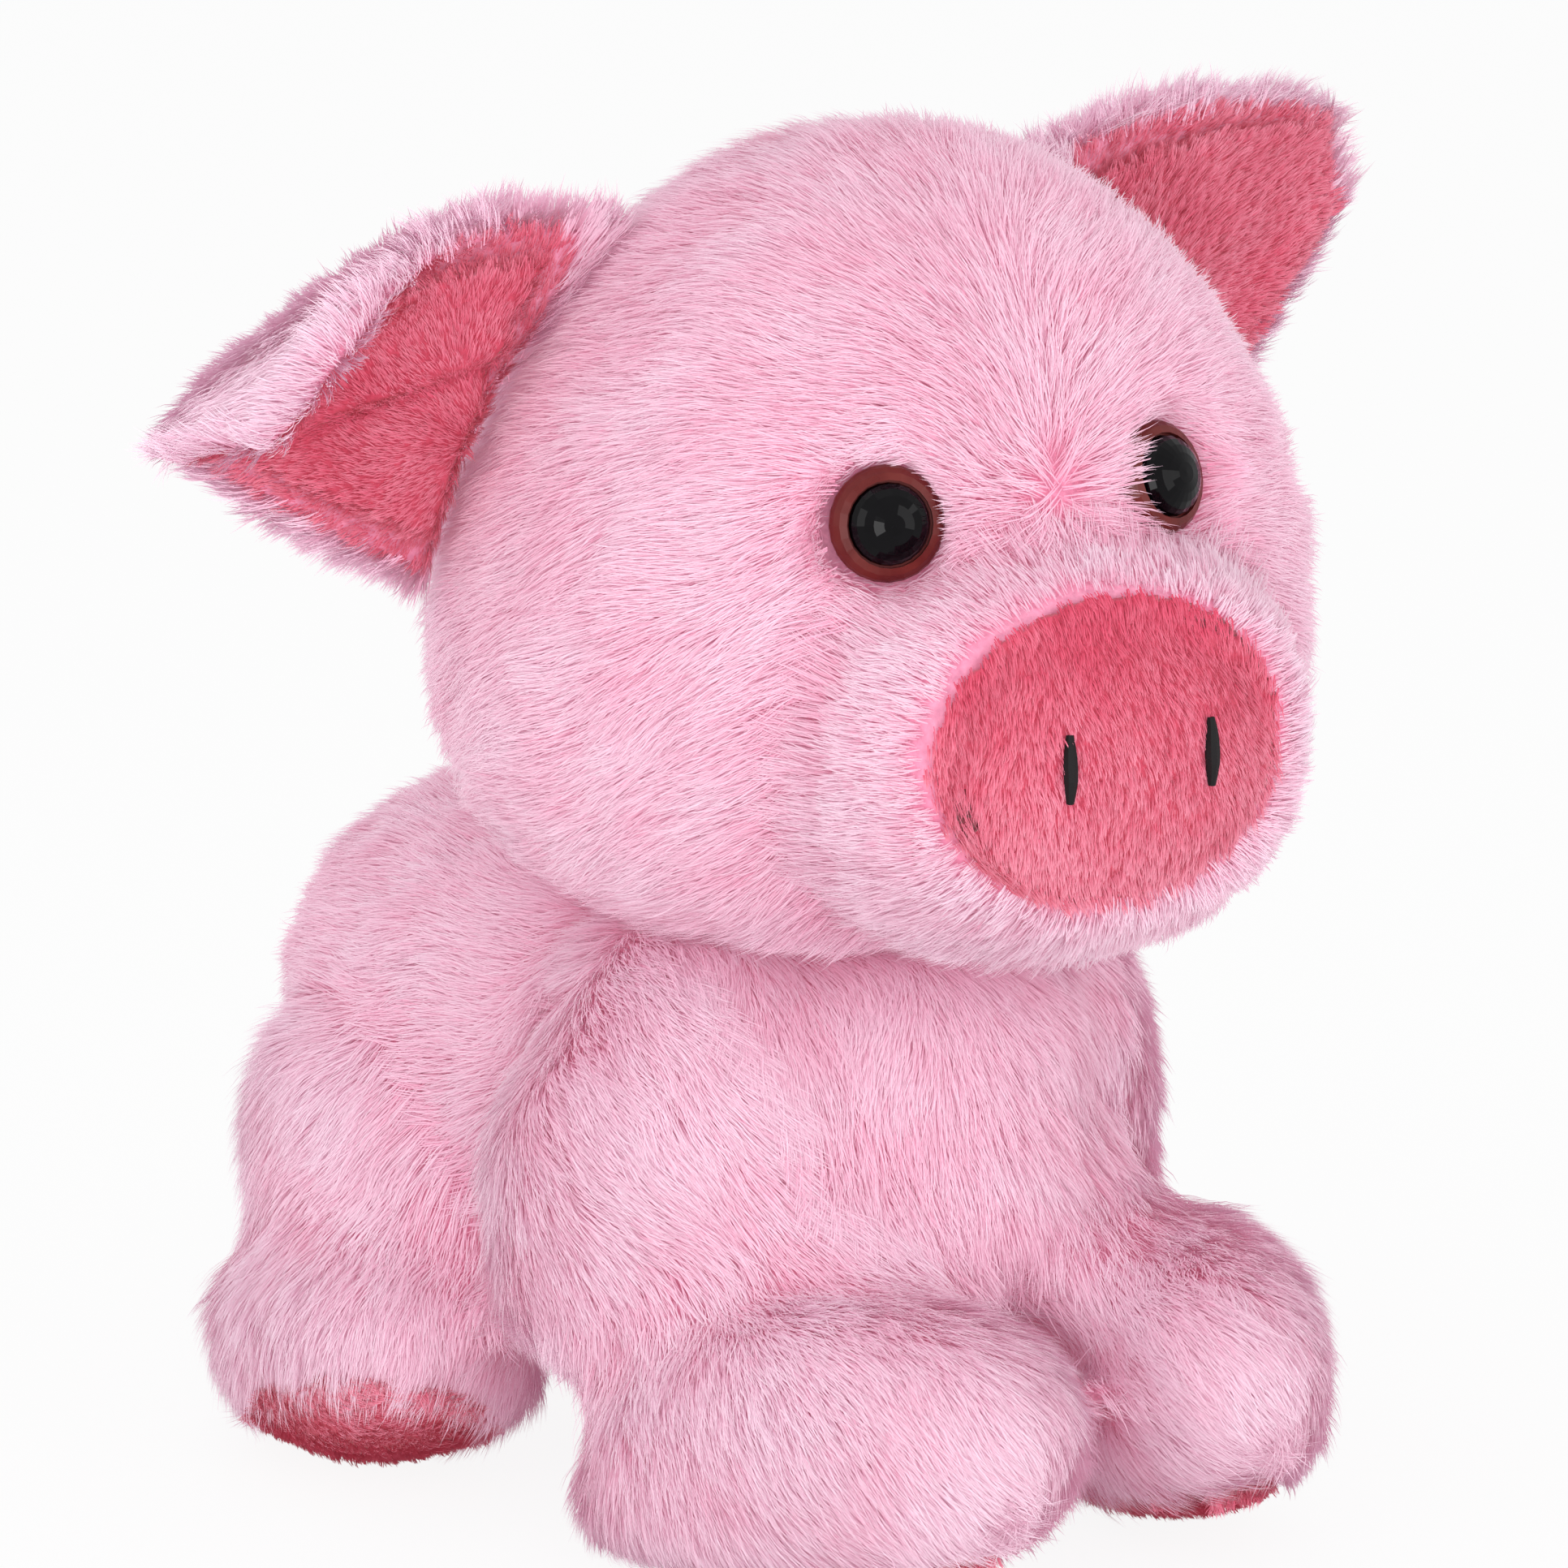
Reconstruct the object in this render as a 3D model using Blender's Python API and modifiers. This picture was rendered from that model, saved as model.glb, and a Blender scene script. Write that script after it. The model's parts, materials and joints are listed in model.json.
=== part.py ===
"""A plush pig that stands on four long feet, as a toy maker's pattern of separate pieces.

Sizes are in metres, +Z is up and the pig looks along -Y, so +X is its left side. Every soft form
is lofted as a coarse cage of rings and rounded by subdivision. Pieces that move turn about the
empties named *_pivot, and each soft piece is cut by the larger piece that it is sewn to.
"""

import math

import bmesh
import bpy
from mathutils import Matrix, Vector
from mathutils.bvhtree import BVHTree

# Clearances and cloth
GAP = 0.0003
FUR_WALL = 0.0060
VELOUR_WALL = 0.0016
STUFFING_EASE = 0.0005
SOLE_PRESS = 0.0005
OVERRUN = 0.0300

# Torso, from the chest back to the rump
TORSO_LENGTH = 0.1280
TORSO_WIDTH = 0.0920
TORSO_RISE = 0.0160
TORSO_FRONT = -0.0470
TORSO_SHARES = (
    (0.000, 0.58, 0.00, 0.00),
    (0.035, 0.58, 0.30, 0.38),
    (0.095, 0.58, 0.52, 0.60),
    (0.260, 0.58, 0.82, 0.78),
    (0.550, 0.53, 0.98, 0.93),
    (0.820, 0.50, 0.98, 0.98),
    (0.945, 0.49, 0.84, 0.86),
    (0.988, 0.46, 0.54, 0.56),
    (1.000, 0.46, 0.00, 0.00),
)
NECK_HEIGHT = 0.0820
NECK_LAP = 0.0100
NECK_BORE_RADIUS = 0.0090
NECK_TURN_DEG = 15.0
TORSO_HEIGHT = NECK_HEIGHT + NECK_LAP - TORSO_RISE

# Head, from the jowls up to the crown
HEAD_WIDTH = 0.1180
HEAD_DEPTH = 0.1040
HEAD_HEIGHT = 0.1110
HEAD_DIP = 0.0050
HEAD_RISE = NECK_HEIGHT - HEAD_DIP
HEAD_SETBACK = -0.0140
HEAD_TURN_DEG = -6.0
HEAD_SHARES = (
    (0.000, 0.00, 0.00, 0.00),
    (0.020, 0.00, 0.52, 0.54),
    (0.120, 0.00, 0.86, 0.86),
    (0.300, 0.00, 1.01, 1.00),
    (0.500, -0.01, 0.99, 0.99),
    (0.700, -0.03, 0.84, 0.88),
    (0.860, -0.04, 0.61, 0.67),
    (0.970, -0.03, 0.31, 0.34),
    (1.000, -0.03, 0.00, 0.00),
)

# Muzzle and nose
MUZZLE_WIDTH = 0.0740
MUZZLE_HEIGHT = 0.0610
MUZZLE_LIFT = 0.0355
MUZZLE_RISE = HEAD_RISE + MUZZLE_LIFT
MUZZLE_FRONT = -0.0850
MUZZLE_ROOT = -0.0330
MUZZLE_SHARES = (
    (0.000, 0.00, 0.00, 0.00),
    (0.030, 0.00, 0.46, 0.44),
    (0.130, 0.00, 0.76, 0.74),
    (0.330, 0.00, 0.97, 0.95),
    (0.750, 0.00, 1.01, 1.00),
    (1.000, 0.00, 0.00, 0.00),
)
NOSE_WIDTH = 0.0530
NOSE_HEIGHT = 0.0400
NOSE_RISE = 0.0015
NOSE_SINK = 0.0030
NOSE_DEPTH = 0.0080
NOSTRIL_SPREAD = 0.0103
NOSTRIL_LENGTH = 0.0085
NOSTRIL_THREAD = 0.0010
NOSTRIL_POINTS = 7

# Eyes
EYE_TURN_DEG = {"right": 27.0, "left": 21.0}
EYE_LIFT_DEG = {"right": 11.3, "left": 14.5}
EYE_SINK = 0.0042
EYE_EASE = 0.0006
EYE_RADIUS = 0.0075
EYE_DOME = 0.0022
IRIS_RIM_SHARES = ((0.00, 1.00), (0.50, 0.86), (0.85, 0.52), (1.00, 0.22))
PUPIL_RADIUS = 0.0053
PUPIL_SEAT = 0.0014
PUPIL_DOME = 0.0032
POST_RADIUS = 0.0017
POST_LENGTH = 0.0075
WASHER_RADIUS = 0.0060
WASHER_THICKNESS = 0.0012
WASHER_SETBACK = 0.0040

# Ears
EAR_ROOT = 0.0500
EAR_LENGTH = 0.0530
EAR_THICKNESS = 0.0034
EAR_SEAT_TURN_DEG = {"right": 107.0, "left": 110.0}
EAR_SEAT_LIFT_DEG = {"right": 20.0, "left": 26.0}
EAR_TURN_DEG = {"right": 100.0, "left": 109.0}
EAR_LIFT_DEG = {"right": 8.0, "left": 12.0}
EAR_TIP_SHARE = 0.24
EAR_TAPER = 1.9
EAR_CUP = 0.0060
EAR_SAG = 0.0090
EAR_RISE = 0.0040
EAR_TUCK = 0.0035
EAR_TUCK_SHARE = -0.14
LINING_EASE = 0.0009
EAR_ACROSS_SHARES = (-1.00, -0.80, -0.55, -0.28, 0.00, 0.28, 0.55, 0.80, 1.00)
EAR_OUT_SHARES = (-0.06, 0.06, 0.20, 0.32, 0.43, 0.53, 0.63, 0.73, 0.83, 0.92, 0.99)
EAR_STEP_SHARE = 0.01
EAR_FOLD_RADIUS = 0.0090
EAR_FOLD_LIMIT_DEG = 140.0
EAR_FOLD_SHARES = {"right": 0.38, "left": 0.88}
EAR_FOLD_TILT_DEG = {"right": 42.0, "left": 0.0}
EAR_SWING_DEG = 25.0

# Front legs, measured from the shoulder axis
SHOULDER_SPREAD = {"right": 0.0250, "left": 0.0205}
SHOULDER_SETBACK = {"right": -0.0080, "left": -0.0050}
SHOULDER_HEIGHT = 0.0500
SHOULDER_RADIUS = 0.0225
FRONT_LEG_WIDTH = 0.0310
FRONT_FOOT_LENGTH = 0.0750
FRONT_FOOT_WIDTH = 0.0390
FRONT_FOOT_HEIGHT = 0.0440
FRONT_HEEL = 0.0040
FRONT_TOE_TURN_DEG = {"right": 20.0, "left": 18.0}
FRONT_SWING_DEG = (-12.0, 6.0)

# Hind legs, measured from the hip axis
HIP_SPREAD = {"right": 0.0260, "left": 0.0260}
HIP_SETBACK = 0.0445
HIP_HEIGHT = 0.0390
HIP_RADIUS = 0.0255
HIND_LEG_WIDTH = 0.0320
HIND_FOOT_LENGTH = 0.0600
HIND_FOOT_WIDTH = 0.0400
HIND_FOOT_HEIGHT = 0.0390
HIND_HEEL = 0.0220
HIND_TOE_TURN_DEG = {"right": -4.0, "left": -4.0}
HIND_SWING_DEG = (-6.0, 12.0)

# Soles: the seam plane rises to the toe and to the outer side
SOLE_RISE = 0.0045
FRONT_SOLE_TOE_SLOPE_DEG = 9.0
FRONT_SOLE_SIDE_SLOPE_DEG = 3.0
HIND_SOLE_TOE_SLOPE_DEG = 20.0
HIND_SOLE_SIDE_SLOPE_DEG = 24.0

# Legs: rings of the cap by angle from the top, of the column by share down, of the foot by share
LEG_SINK = 0.0020
CAP_ANGLES_DEG = (28.0, 58.0, 88.0)
COLUMN_SHARES = ((0.45, 0.95), (0.90, 0.80))
FOOT_SHARES = (
    (0.00, 0.00, 0.00, 0.50),
    (0.04, 0.50, 0.50, 0.75),
    (0.20, 0.90, 0.90, 0.95),
    (0.50, 1.00, 1.00, 1.00),
    (0.78, 0.95, 0.86, -0.50),
    (0.95, 0.58, 0.50, -0.25),
    (1.00, 0.00, 0.00, -0.20),
)

# Tail and pellet pouch
TAIL_HEIGHT = 0.0520
TAIL_RADIUS = 0.0030
TAIL_CURL_RADIUS = 0.0060
TAIL_PITCH = 0.0080
TAIL_TURNS = 1.25
TAIL_TAPER_SHARE = 0.45
TAIL_CURL_EASE = 1.2
TAIL_ROOT_ANGLES_DEG = (12.0, 35.0, 60.0)
TAIL_POINTS = 13
TAIL_SWING_DEG = 20.0
POUCH_LENGTH = 0.0560
POUCH_WIDTH = 0.0400
POUCH_HEIGHT = 0.0300
POUCH_SETBACK = 0.0400
POUCH_RISE = 0.0300

# Faceting
TORSO_RING_POINTS = 12
HEAD_RING_POINTS = 12
MUZZLE_RING_POINTS = 12
LEG_RING_POINTS = 8
TURNED_STEPS = 24
RECESS_STEPS = 10
SPACE_STEP_DEG = 9.0
CURVE_BEVEL_STEPS = 2
SOFT_LEVELS = 1
POUCH_BANDS = 8
DOME_STEPS = 6
MERGE_SHARE = 0.03
SQUARENESS = 2.3
FOOT_SQUARENESS = 2.6

# Surfaces
FUR_ROUGHNESS = 0.85
FUR_SHEEN = 0.40
VELOUR_ROUGHNESS = 0.80
VELOUR_SHEEN = 0.30
IRIS_ROUGHNESS = 0.12
PUPIL_ROUGHNESS = 0.06
THREAD_ROUGHNESS = 0.60
STUFFING_ROUGHNESS = 0.95
POUCH_ROUGHNESS = 0.90
WASHER_ROUGHNESS = 0.40

# Colours
FUR_PINK = (0.83, 0.50, 0.63)
VELOUR_PINK = (0.64, 0.12, 0.20)
IRIS_BROWN = (0.060, 0.010, 0.010)
PUPIL_BLACK = (0.004, 0.004, 0.005)
THREAD_BLACK = (0.010, 0.009, 0.012)
STUFFING_WHITE = (0.80, 0.80, 0.78)
POUCH_GREY = (0.55, 0.54, 0.50)
WASHER_WHITE = (0.70, 0.70, 0.68)

SIDES = {"right": -1, "left": 1}
ACROSS = Vector((1, 0, 0))
BACK = Vector((0, 1, 0))
UP = Vector((0, 0, 1))


def clear_scene():
    for obj in list(bpy.data.objects):
        bpy.data.objects.remove(obj, do_unlink=True)


def new_collection(name):
    made = bpy.data.collections.new(name)
    bpy.context.scene.collection.children.link(made)
    return made


def material(name, colour, roughness, sheen=0.0):
    made = bpy.data.materials.new(name)
    made.use_nodes = True
    shader = made.node_tree.nodes["Principled BSDF"]
    shader.inputs["Base Color"].default_value = (*colour, 1)
    shader.inputs["Roughness"].default_value = roughness
    shader.inputs["Sheen Weight"].default_value = sheen
    made.diffuse_color = (*colour, 1)
    return made


def add_object(name, data, pieces, finish=None):
    obj = bpy.data.objects.new(name, data)
    pieces.objects.link(obj)
    if finish:
        data.materials.append(finish)
    return obj


def add_cutter(name, mesh, cutters):
    obj = add_object(name, mesh, cutters)
    obj.hide_render = True
    obj.display_type = "WIRE"
    return obj


def add_pivot(name, place, turn_deg, parent, pieces):
    pivot = add_object(name, None, pieces)
    pivot.parent = parent
    pivot.location = place
    pivot.rotation_euler.z = math.radians(turn_deg)
    return pivot


def boolean(obj, operation, other):
    step = obj.modifiers.new(operation.lower() + "_" + other.name, "BOOLEAN")
    step.operation = operation
    step.object = other
    step.solver = "EXACT"
    return step


def mesh_from(name, build):
    """A mesh made by BUILD, a function that fills an empty bmesh."""
    shape = bmesh.new()
    build(shape)
    bmesh.ops.recalc_face_normals(shape, faces=shape.faces)
    mesh = bpy.data.meshes.new(name)
    shape.to_mesh(mesh)
    shape.free()
    mesh.shade_smooth()
    return mesh


def evaluated_mesh(obj):
    """The finished points and faces of an object, in the frame of its parent."""
    bpy.context.view_layer.update()
    graph = bpy.context.evaluated_depsgraph_get()
    finished = obj.evaluated_get(graph)
    mesh = finished.to_mesh()
    points = [obj.matrix_local @ vertex.co for vertex in mesh.vertices]
    faces = [tuple(face.vertices) for face in mesh.polygons]
    finished.to_mesh_clear()
    return points, faces


def surface_hit(obj, origin, direction):
    """Where a ray from inside a form leaves it, and the form's outward normal there."""
    tree = BVHTree.FromPolygons(*evaluated_mesh(obj))
    place, normal, _, _ = tree.ray_cast(origin, direction)
    return place, normal if normal.dot(direction) > 0 else -normal


def heading(turn_deg, lift_deg):
    """A unit vector turned from straight ahead, -Y, towards +X and lifted above level."""
    turn = math.radians(turn_deg)
    lift = math.radians(lift_deg)
    return Vector(
        (math.sin(turn) * math.cos(lift), -math.cos(turn) * math.cos(lift), math.sin(lift))
    )


def ring_offset(angle, half_across, half_up, squareness):
    """A point of a rounded-square ring, which a squareness of 2 makes an ellipse."""
    power = 2 / squareness
    across = math.copysign(abs(math.cos(angle)) ** power, math.cos(angle))
    upward = math.copysign(abs(math.sin(angle)) ** power, math.sin(angle))
    return half_across * across, half_up * upward


def soft_mesh(name, rings, ring_points, across, upward, squareness, rounded=True):
    """A coarse cage through the rings, whose first and last are the two poles."""
    # Subdivision draws a ring of n points in by this much, so the cage is made that much fuller.
    fullness = 3 / (2 + math.cos(2 * math.pi / ring_points)) if rounded else 1

    def build(shape):
        loops = []
        for centre, half_across, half_up in rings[1:-1]:
            loop = []
            for i in range(ring_points):
                angle = math.pi * (2 * i + 1) / ring_points
                a, b = ring_offset(angle, half_across * fullness, half_up * fullness, squareness)
                loop.append(shape.verts.new(centre + across * a + upward * b))
            loops.append(loop)
        for near, far in zip(loops, loops[1:]):
            for i in range(ring_points):
                j = (i + 1) % ring_points
                shape.faces.new((near[i], near[j], far[j], far[i]))
        for loop, (centre, _, _) in ((loops[0], rings[0]), (loops[-1], rings[-1])):
            pole = shape.verts.new(centre)
            for i in range(ring_points):
                shape.faces.new((loop[i], loop[(i + 1) % ring_points], pole))

    return mesh_from(name, build)


def soften(obj):
    step = obj.modifiers.new("rounding", "SUBSURF")
    step.levels = SOFT_LEVELS
    step.render_levels = SOFT_LEVELS
    return obj


def stretched(share, length, inset):
    """A station's place along a form whose two ends are drawn in by INSET."""
    return inset + share * (length - 2 * inset)


def torso_rings(inset):
    rings = []
    for along, up, across, tall in TORSO_SHARES:
        y = TORSO_FRONT + stretched(along, TORSO_LENGTH, inset)
        z = TORSO_RISE + up * TORSO_HEIGHT
        half_width = across * TORSO_WIDTH / 2 - inset
        half_height = tall * TORSO_HEIGHT / 2 - inset
        rings.append((Vector((0, y, z)), half_width, half_height))
    return rings


def torso_mesh(name, inset, rounded=True):
    return soft_mesh(
        name, torso_rings(inset), TORSO_RING_POINTS, ACROSS, UP, SQUARENESS, rounded
    )


def head_mesh(name, inset, rounded=True):
    rings = []
    for up, ahead, across, deep in HEAD_SHARES:
        y = ahead * HEAD_DEPTH
        z = HEAD_RISE - NECK_HEIGHT + stretched(up, HEAD_HEIGHT, inset)
        half_width = across * HEAD_WIDTH / 2 - inset
        half_depth = deep * HEAD_DEPTH / 2 - inset
        rings.append((Vector((0, y, z)), half_width, half_depth))
    return soft_mesh(name, rings, HEAD_RING_POINTS, ACROSS, BACK, SQUARENESS, rounded)


def box_mesh(name, low, high):
    """A box between two corners."""

    def build(shape):
        bmesh.ops.create_cube(shape, size=1)
        size = high - low
        middle = (high + low) / 2
        for vertex in shape.verts:
            for axis in range(3):
                vertex.co[axis] = middle[axis] + vertex.co[axis] * size[axis]

    return mesh_from(name, build)


def rod_mesh(name, radius, low, high, steps):
    """A round rod along Z between two heights."""

    def build(shape):
        bmesh.ops.create_cone(
            shape, cap_ends=True, segments=steps, radius1=radius, radius2=radius, depth=high - low
        )
        bmesh.ops.translate(shape, verts=shape.verts, vec=(0, 0, (low + high) / 2))

    return mesh_from(name, build)


def turned(name, profile, pieces, finish):
    """A turned solid: the profile runs down its outer side from the top."""
    mesh = bpy.data.meshes.new(name)
    points = [(radius, 0, height) for radius, height in profile]
    closed = profile[0] == profile[-1]
    if closed:
        points.pop()
    edges = [(i, i + 1) for i in range(len(points) - 1)]
    if closed:
        edges.append((len(points) - 1, 0))
    mesh.from_pydata(points, edges, [])
    obj = add_object(name, mesh, pieces, finish)
    step = obj.modifiers.new("turning", "SCREW")
    step.steps = TURNED_STEPS
    step.render_steps = TURNED_STEPS
    step.use_merge_vertices = True
    step.merge_threshold = GAP * MERGE_SHARE
    step.use_smooth_shade = True
    return obj


def dome_profile(radius, base, rise, steps):
    """Points of a shallow dome from its crown down to its rim."""
    points = []
    for i in range(steps + 1):
        angle = math.pi / 2 * i / steps
        points.append((radius * math.sin(angle), base + rise * math.cos(angle)))
    return points


def tube(name, path, radii, parent, pieces, finish):
    """A round cord through the path's points, each with its own radius."""
    curve = bpy.data.curves.new(name, "CURVE")
    curve.dimensions = "3D"
    curve.bevel_depth = max(radii)
    curve.bevel_resolution = CURVE_BEVEL_STEPS
    curve.use_fill_caps = True
    spline = curve.splines.new("POLY")
    spline.points.add(len(path) - 1)
    for point, place, radius in zip(spline.points, path, radii):
        point.co = (*place, 1)
        point.radius = radius / max(radii)
    obj = add_object(name, curve, pieces, finish)
    obj.parent = parent
    return obj


def make_floor(obj, height, parent, cutters):
    """Cuts an object off below a height of its parent's frame."""
    reach = HEAD_WIDTH + OVERRUN
    low = Vector((-reach, -reach, -reach))
    mesh = box_mesh(obj.name + "_floor", low, Vector((reach, reach, height)))
    under = add_cutter(obj.name + "_floor", mesh, cutters)
    under.parent = parent
    boolean(obj, "DIFFERENCE", under)


def make_bore(obj, low, high, parent, cutters):
    """The round opening of a cover at the neck."""
    mesh = rod_mesh(obj.name + "_bore", NECK_BORE_RADIUS, low, high, TURNED_STEPS)
    bore = add_cutter(obj.name + "_bore", mesh, cutters)
    bore.parent = parent
    boolean(obj, "DIFFERENCE", bore)


def make_head(neck, pieces, cutters, finishes):
    """The fur cover of the head, open at the neck, and the stuffing inside it."""
    fill_inset = FUR_WALL + STUFFING_EASE
    skin = soften(add_object("head_skin", head_mesh("head_skin", 0), pieces, finishes["fur"]))
    inner = add_cutter("head_hollow", head_mesh("head_hollow", FUR_WALL, False), cutters)
    core_mesh = head_mesh("head_stuffing", fill_inset, False)
    fill = add_object("head_stuffing", core_mesh, pieces, finishes["fill"])
    for obj, height in ((skin, GAP), (inner, GAP + FUR_WALL), (fill, GAP + fill_inset)):
        obj.parent = neck
        make_floor(obj, height, neck, cutters)
    boolean(skin, "DIFFERENCE", inner)
    make_bore(skin, -OVERRUN, fill_inset, neck, cutters)
    return skin, fill


def make_head_spaces(neck, grow, cutters):
    """The head's space, grown by a clearance, at rest and at both limits of its turn."""
    made = []
    for turn in (-NECK_TURN_DEG, 0.0, NECK_TURN_DEG):
        name = f"head_space_{len(made)}"
        space = soften(add_cutter(name, head_mesh(name, -grow), cutters))
        space.parent = neck
        space.rotation_euler.z = math.radians(turn)
        make_floor(space, GAP - grow, neck, cutters)
        made.append(space)
    return made


def leg_space_mesh(name, radius, swing_deg, grow):
    """The space that a leg sweeps outside its shoulder plane: a disc and the wedge below it."""
    wide = radius + grow
    back = math.radians(swing_deg[1])
    ahead = math.radians(-swing_deg[0])
    reach = SHOULDER_HEIGHT + OVERRUN
    outline = []
    for i in range(RECESS_STEPS + 1):
        angle = back + (math.pi - back - ahead) * i / RECESS_STEPS
        outline.append((wide * math.cos(angle), wide * math.sin(angle)))
    front_foot = (outline[-1][0] - reach * math.sin(ahead), outline[-1][1] - reach * math.cos(ahead))
    back_foot = (outline[0][0] + reach * math.sin(back), outline[0][1] - reach * math.cos(back))
    outline += [front_foot, back_foot]

    def build(shape):
        ring = [shape.verts.new((0, y, z)) for y, z in outline]
        face = shape.faces.new(ring)
        grown = bmesh.ops.extrude_face_region(shape, geom=[face])
        far = [item for item in grown["geom"] if isinstance(item, bmesh.types.BMVert)]
        bmesh.ops.translate(shape, verts=far, vec=ACROSS * TORSO_WIDTH)

    return mesh_from(name, build)


def make_torso(root, neck, legs, pieces, cutters, finishes):
    """The fur cover of the torso with a recess for each leg, and the stuffing inside it."""
    fill_inset = FUR_WALL + STUFFING_EASE
    skin = soften(add_object("torso_skin", torso_mesh("torso_skin", 0), pieces, finishes["fur"]))
    inner = add_cutter("torso_hollow", torso_mesh("torso_hollow", FUR_WALL, False), cutters)
    core_mesh = torso_mesh("torso_stuffing", fill_inset, False)
    fill = add_object("torso_stuffing", core_mesh, pieces, finishes["fill"])
    for obj, grow in ((skin, 0), (inner, FUR_WALL), (fill, fill_inset)):
        obj.parent = root
        for leg in legs:
            name = f"{obj.name}_{leg.name}_space"
            space = add_cutter(name, leg_space_mesh(name, leg.radius, leg.swing, GAP + grow), cutters)
            space.parent = leg.pivot
            space.scale.x = leg.side
            space.location.x = -leg.side * grow
            boolean(obj, "DIFFERENCE", space)
            for foot_space in leg.foot_spaces(obj.name, GAP + grow, cutters):
                boolean(obj, "DIFFERENCE", foot_space)
        for space in make_head_spaces(neck, GAP + grow, cutters):
            boolean(obj, "DIFFERENCE", space)
    boolean(skin, "DIFFERENCE", inner)
    make_bore(skin, -fill_inset, OVERRUN, neck, cutters)
    return fill


def make_pouch(fill, root, pieces, cutters, finishes):
    """The pouch of pellets that lies under the stuffing in the seat."""

    def grown_ball(grow):
        def build(shape):
            bmesh.ops.create_uvsphere(shape, u_segments=TORSO_RING_POINTS, v_segments=POUCH_BANDS, radius=1)
            half = Vector((POUCH_WIDTH, POUCH_LENGTH, POUCH_HEIGHT)) / 2
            for vertex in shape.verts:
                for axis in range(3):
                    vertex.co[axis] *= half[axis] + grow

        return build

    place = Vector((0, POUCH_SETBACK, POUCH_RISE))
    pouch = add_object("pellet_pouch", mesh_from("pellet_pouch", grown_ball(0)), pieces, finishes["pouch"])
    pocket = add_cutter("pouch_pocket", mesh_from("pouch_pocket", grown_ball(GAP)), cutters)
    room_mesh = torso_mesh("pouch_room", FUR_WALL + STUFFING_EASE, False)
    room = add_cutter("pouch_room", room_mesh, cutters)
    for obj in (pouch, pocket, room):
        obj.parent = root
    pouch.location = place
    pocket.location = place
    boolean(pouch, "INTERSECT", room)
    boolean(fill, "DIFFERENCE", pocket)


def ellipse_plug_mesh(name, half_wide, half_tall, front, back):
    """An elliptic plug along Y."""

    def build(shape):
        bmesh.ops.create_cone(
            shape, cap_ends=True, segments=TURNED_STEPS, radius1=1, radius2=1, depth=back - front
        )
        bmesh.ops.rotate(shape, verts=shape.verts, matrix=Matrix.Rotation(math.pi / 2, 3, "X"))
        for vertex in shape.verts:
            vertex.co.x *= half_wide
            vertex.co.z *= half_tall
            vertex.co.y += (front + back) / 2

    return mesh_from(name, build)


def muzzle_mesh(name, inset):
    rings = []
    for along, up, across, tall in MUZZLE_SHARES:
        y = MUZZLE_FRONT - HEAD_SETBACK + stretched(along, MUZZLE_ROOT - MUZZLE_FRONT, inset)
        z = MUZZLE_RISE - NECK_HEIGHT + up * MUZZLE_HEIGHT
        half_width = across * MUZZLE_WIDTH / 2 - inset
        half_height = tall * MUZZLE_HEIGHT / 2 - inset
        rings.append((Vector((0, y, z)), half_width, half_height))
    return soft_mesh(name, rings, MUZZLE_RING_POINTS, ACROSS, UP, SQUARENESS)


def make_muzzle(neck, head_form, pieces, cutters, finishes):
    """The fur mound of the muzzle, the velour nose set into it and the nostril stitches."""
    muzzle = soften(add_object("muzzle", muzzle_mesh("muzzle", 0), pieces, finishes["fur"]))
    nose_mesh = muzzle_mesh("nose_pad", NOSE_SINK)
    nose = soften(add_object("nose_pad", nose_mesh, pieces, finishes["velour"]))
    front = MUZZLE_FRONT - HEAD_SETBACK
    rise = MUZZLE_RISE - NECK_HEIGHT + NOSE_RISE
    half_wide = NOSE_WIDTH / 2
    half_tall = NOSE_HEIGHT / 2
    plug_mesh = ellipse_plug_mesh("nose_plug", half_wide, half_tall, front - OVERRUN, front + NOSE_DEPTH)
    plug = add_cutter("nose_plug", plug_mesh, cutters)
    socket_back = front + NOSE_DEPTH + GAP
    socket_mesh = ellipse_plug_mesh(
        "nose_socket", half_wide + GAP, half_tall + GAP, front - OVERRUN, socket_back
    )
    socket = add_cutter("nose_socket", socket_mesh, cutters)
    for obj in (plug, socket):
        obj.parent = neck
        obj.location.z = rise
    for obj in (muzzle, nose):
        obj.parent = neck
    face_form = soften(add_cutter("nose_form", muzzle_mesh("nose_form", NOSE_SINK), cutters))
    face_form.parent = neck
    boolean(nose, "INTERSECT", plug)
    boolean(muzzle, "DIFFERENCE", socket)
    boolean(muzzle, "DIFFERENCE", head_form)
    for side_name, side in SIDES.items():
        path = []
        radii = []
        for i in range(NOSTRIL_POINTS):
            share = i / (NOSTRIL_POINTS - 1)
            up = rise + (2 * share - 1) * NOSTRIL_LENGTH / 2
            start = Vector((side * NOSTRIL_SPREAD, (MUZZLE_FRONT + MUZZLE_ROOT) / 2 - HEAD_SETBACK, up))
            place, normal = surface_hit(face_form, start, -BACK)
            path.append(place + normal * (NOSTRIL_THREAD + GAP))
            radii.append(NOSTRIL_THREAD * (1 + math.sin(math.pi * share)) / 2)
        tube(f"nostril_stitch_{side_name}", path, radii, neck, pieces, finishes["thread"])
    return muzzle


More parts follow.
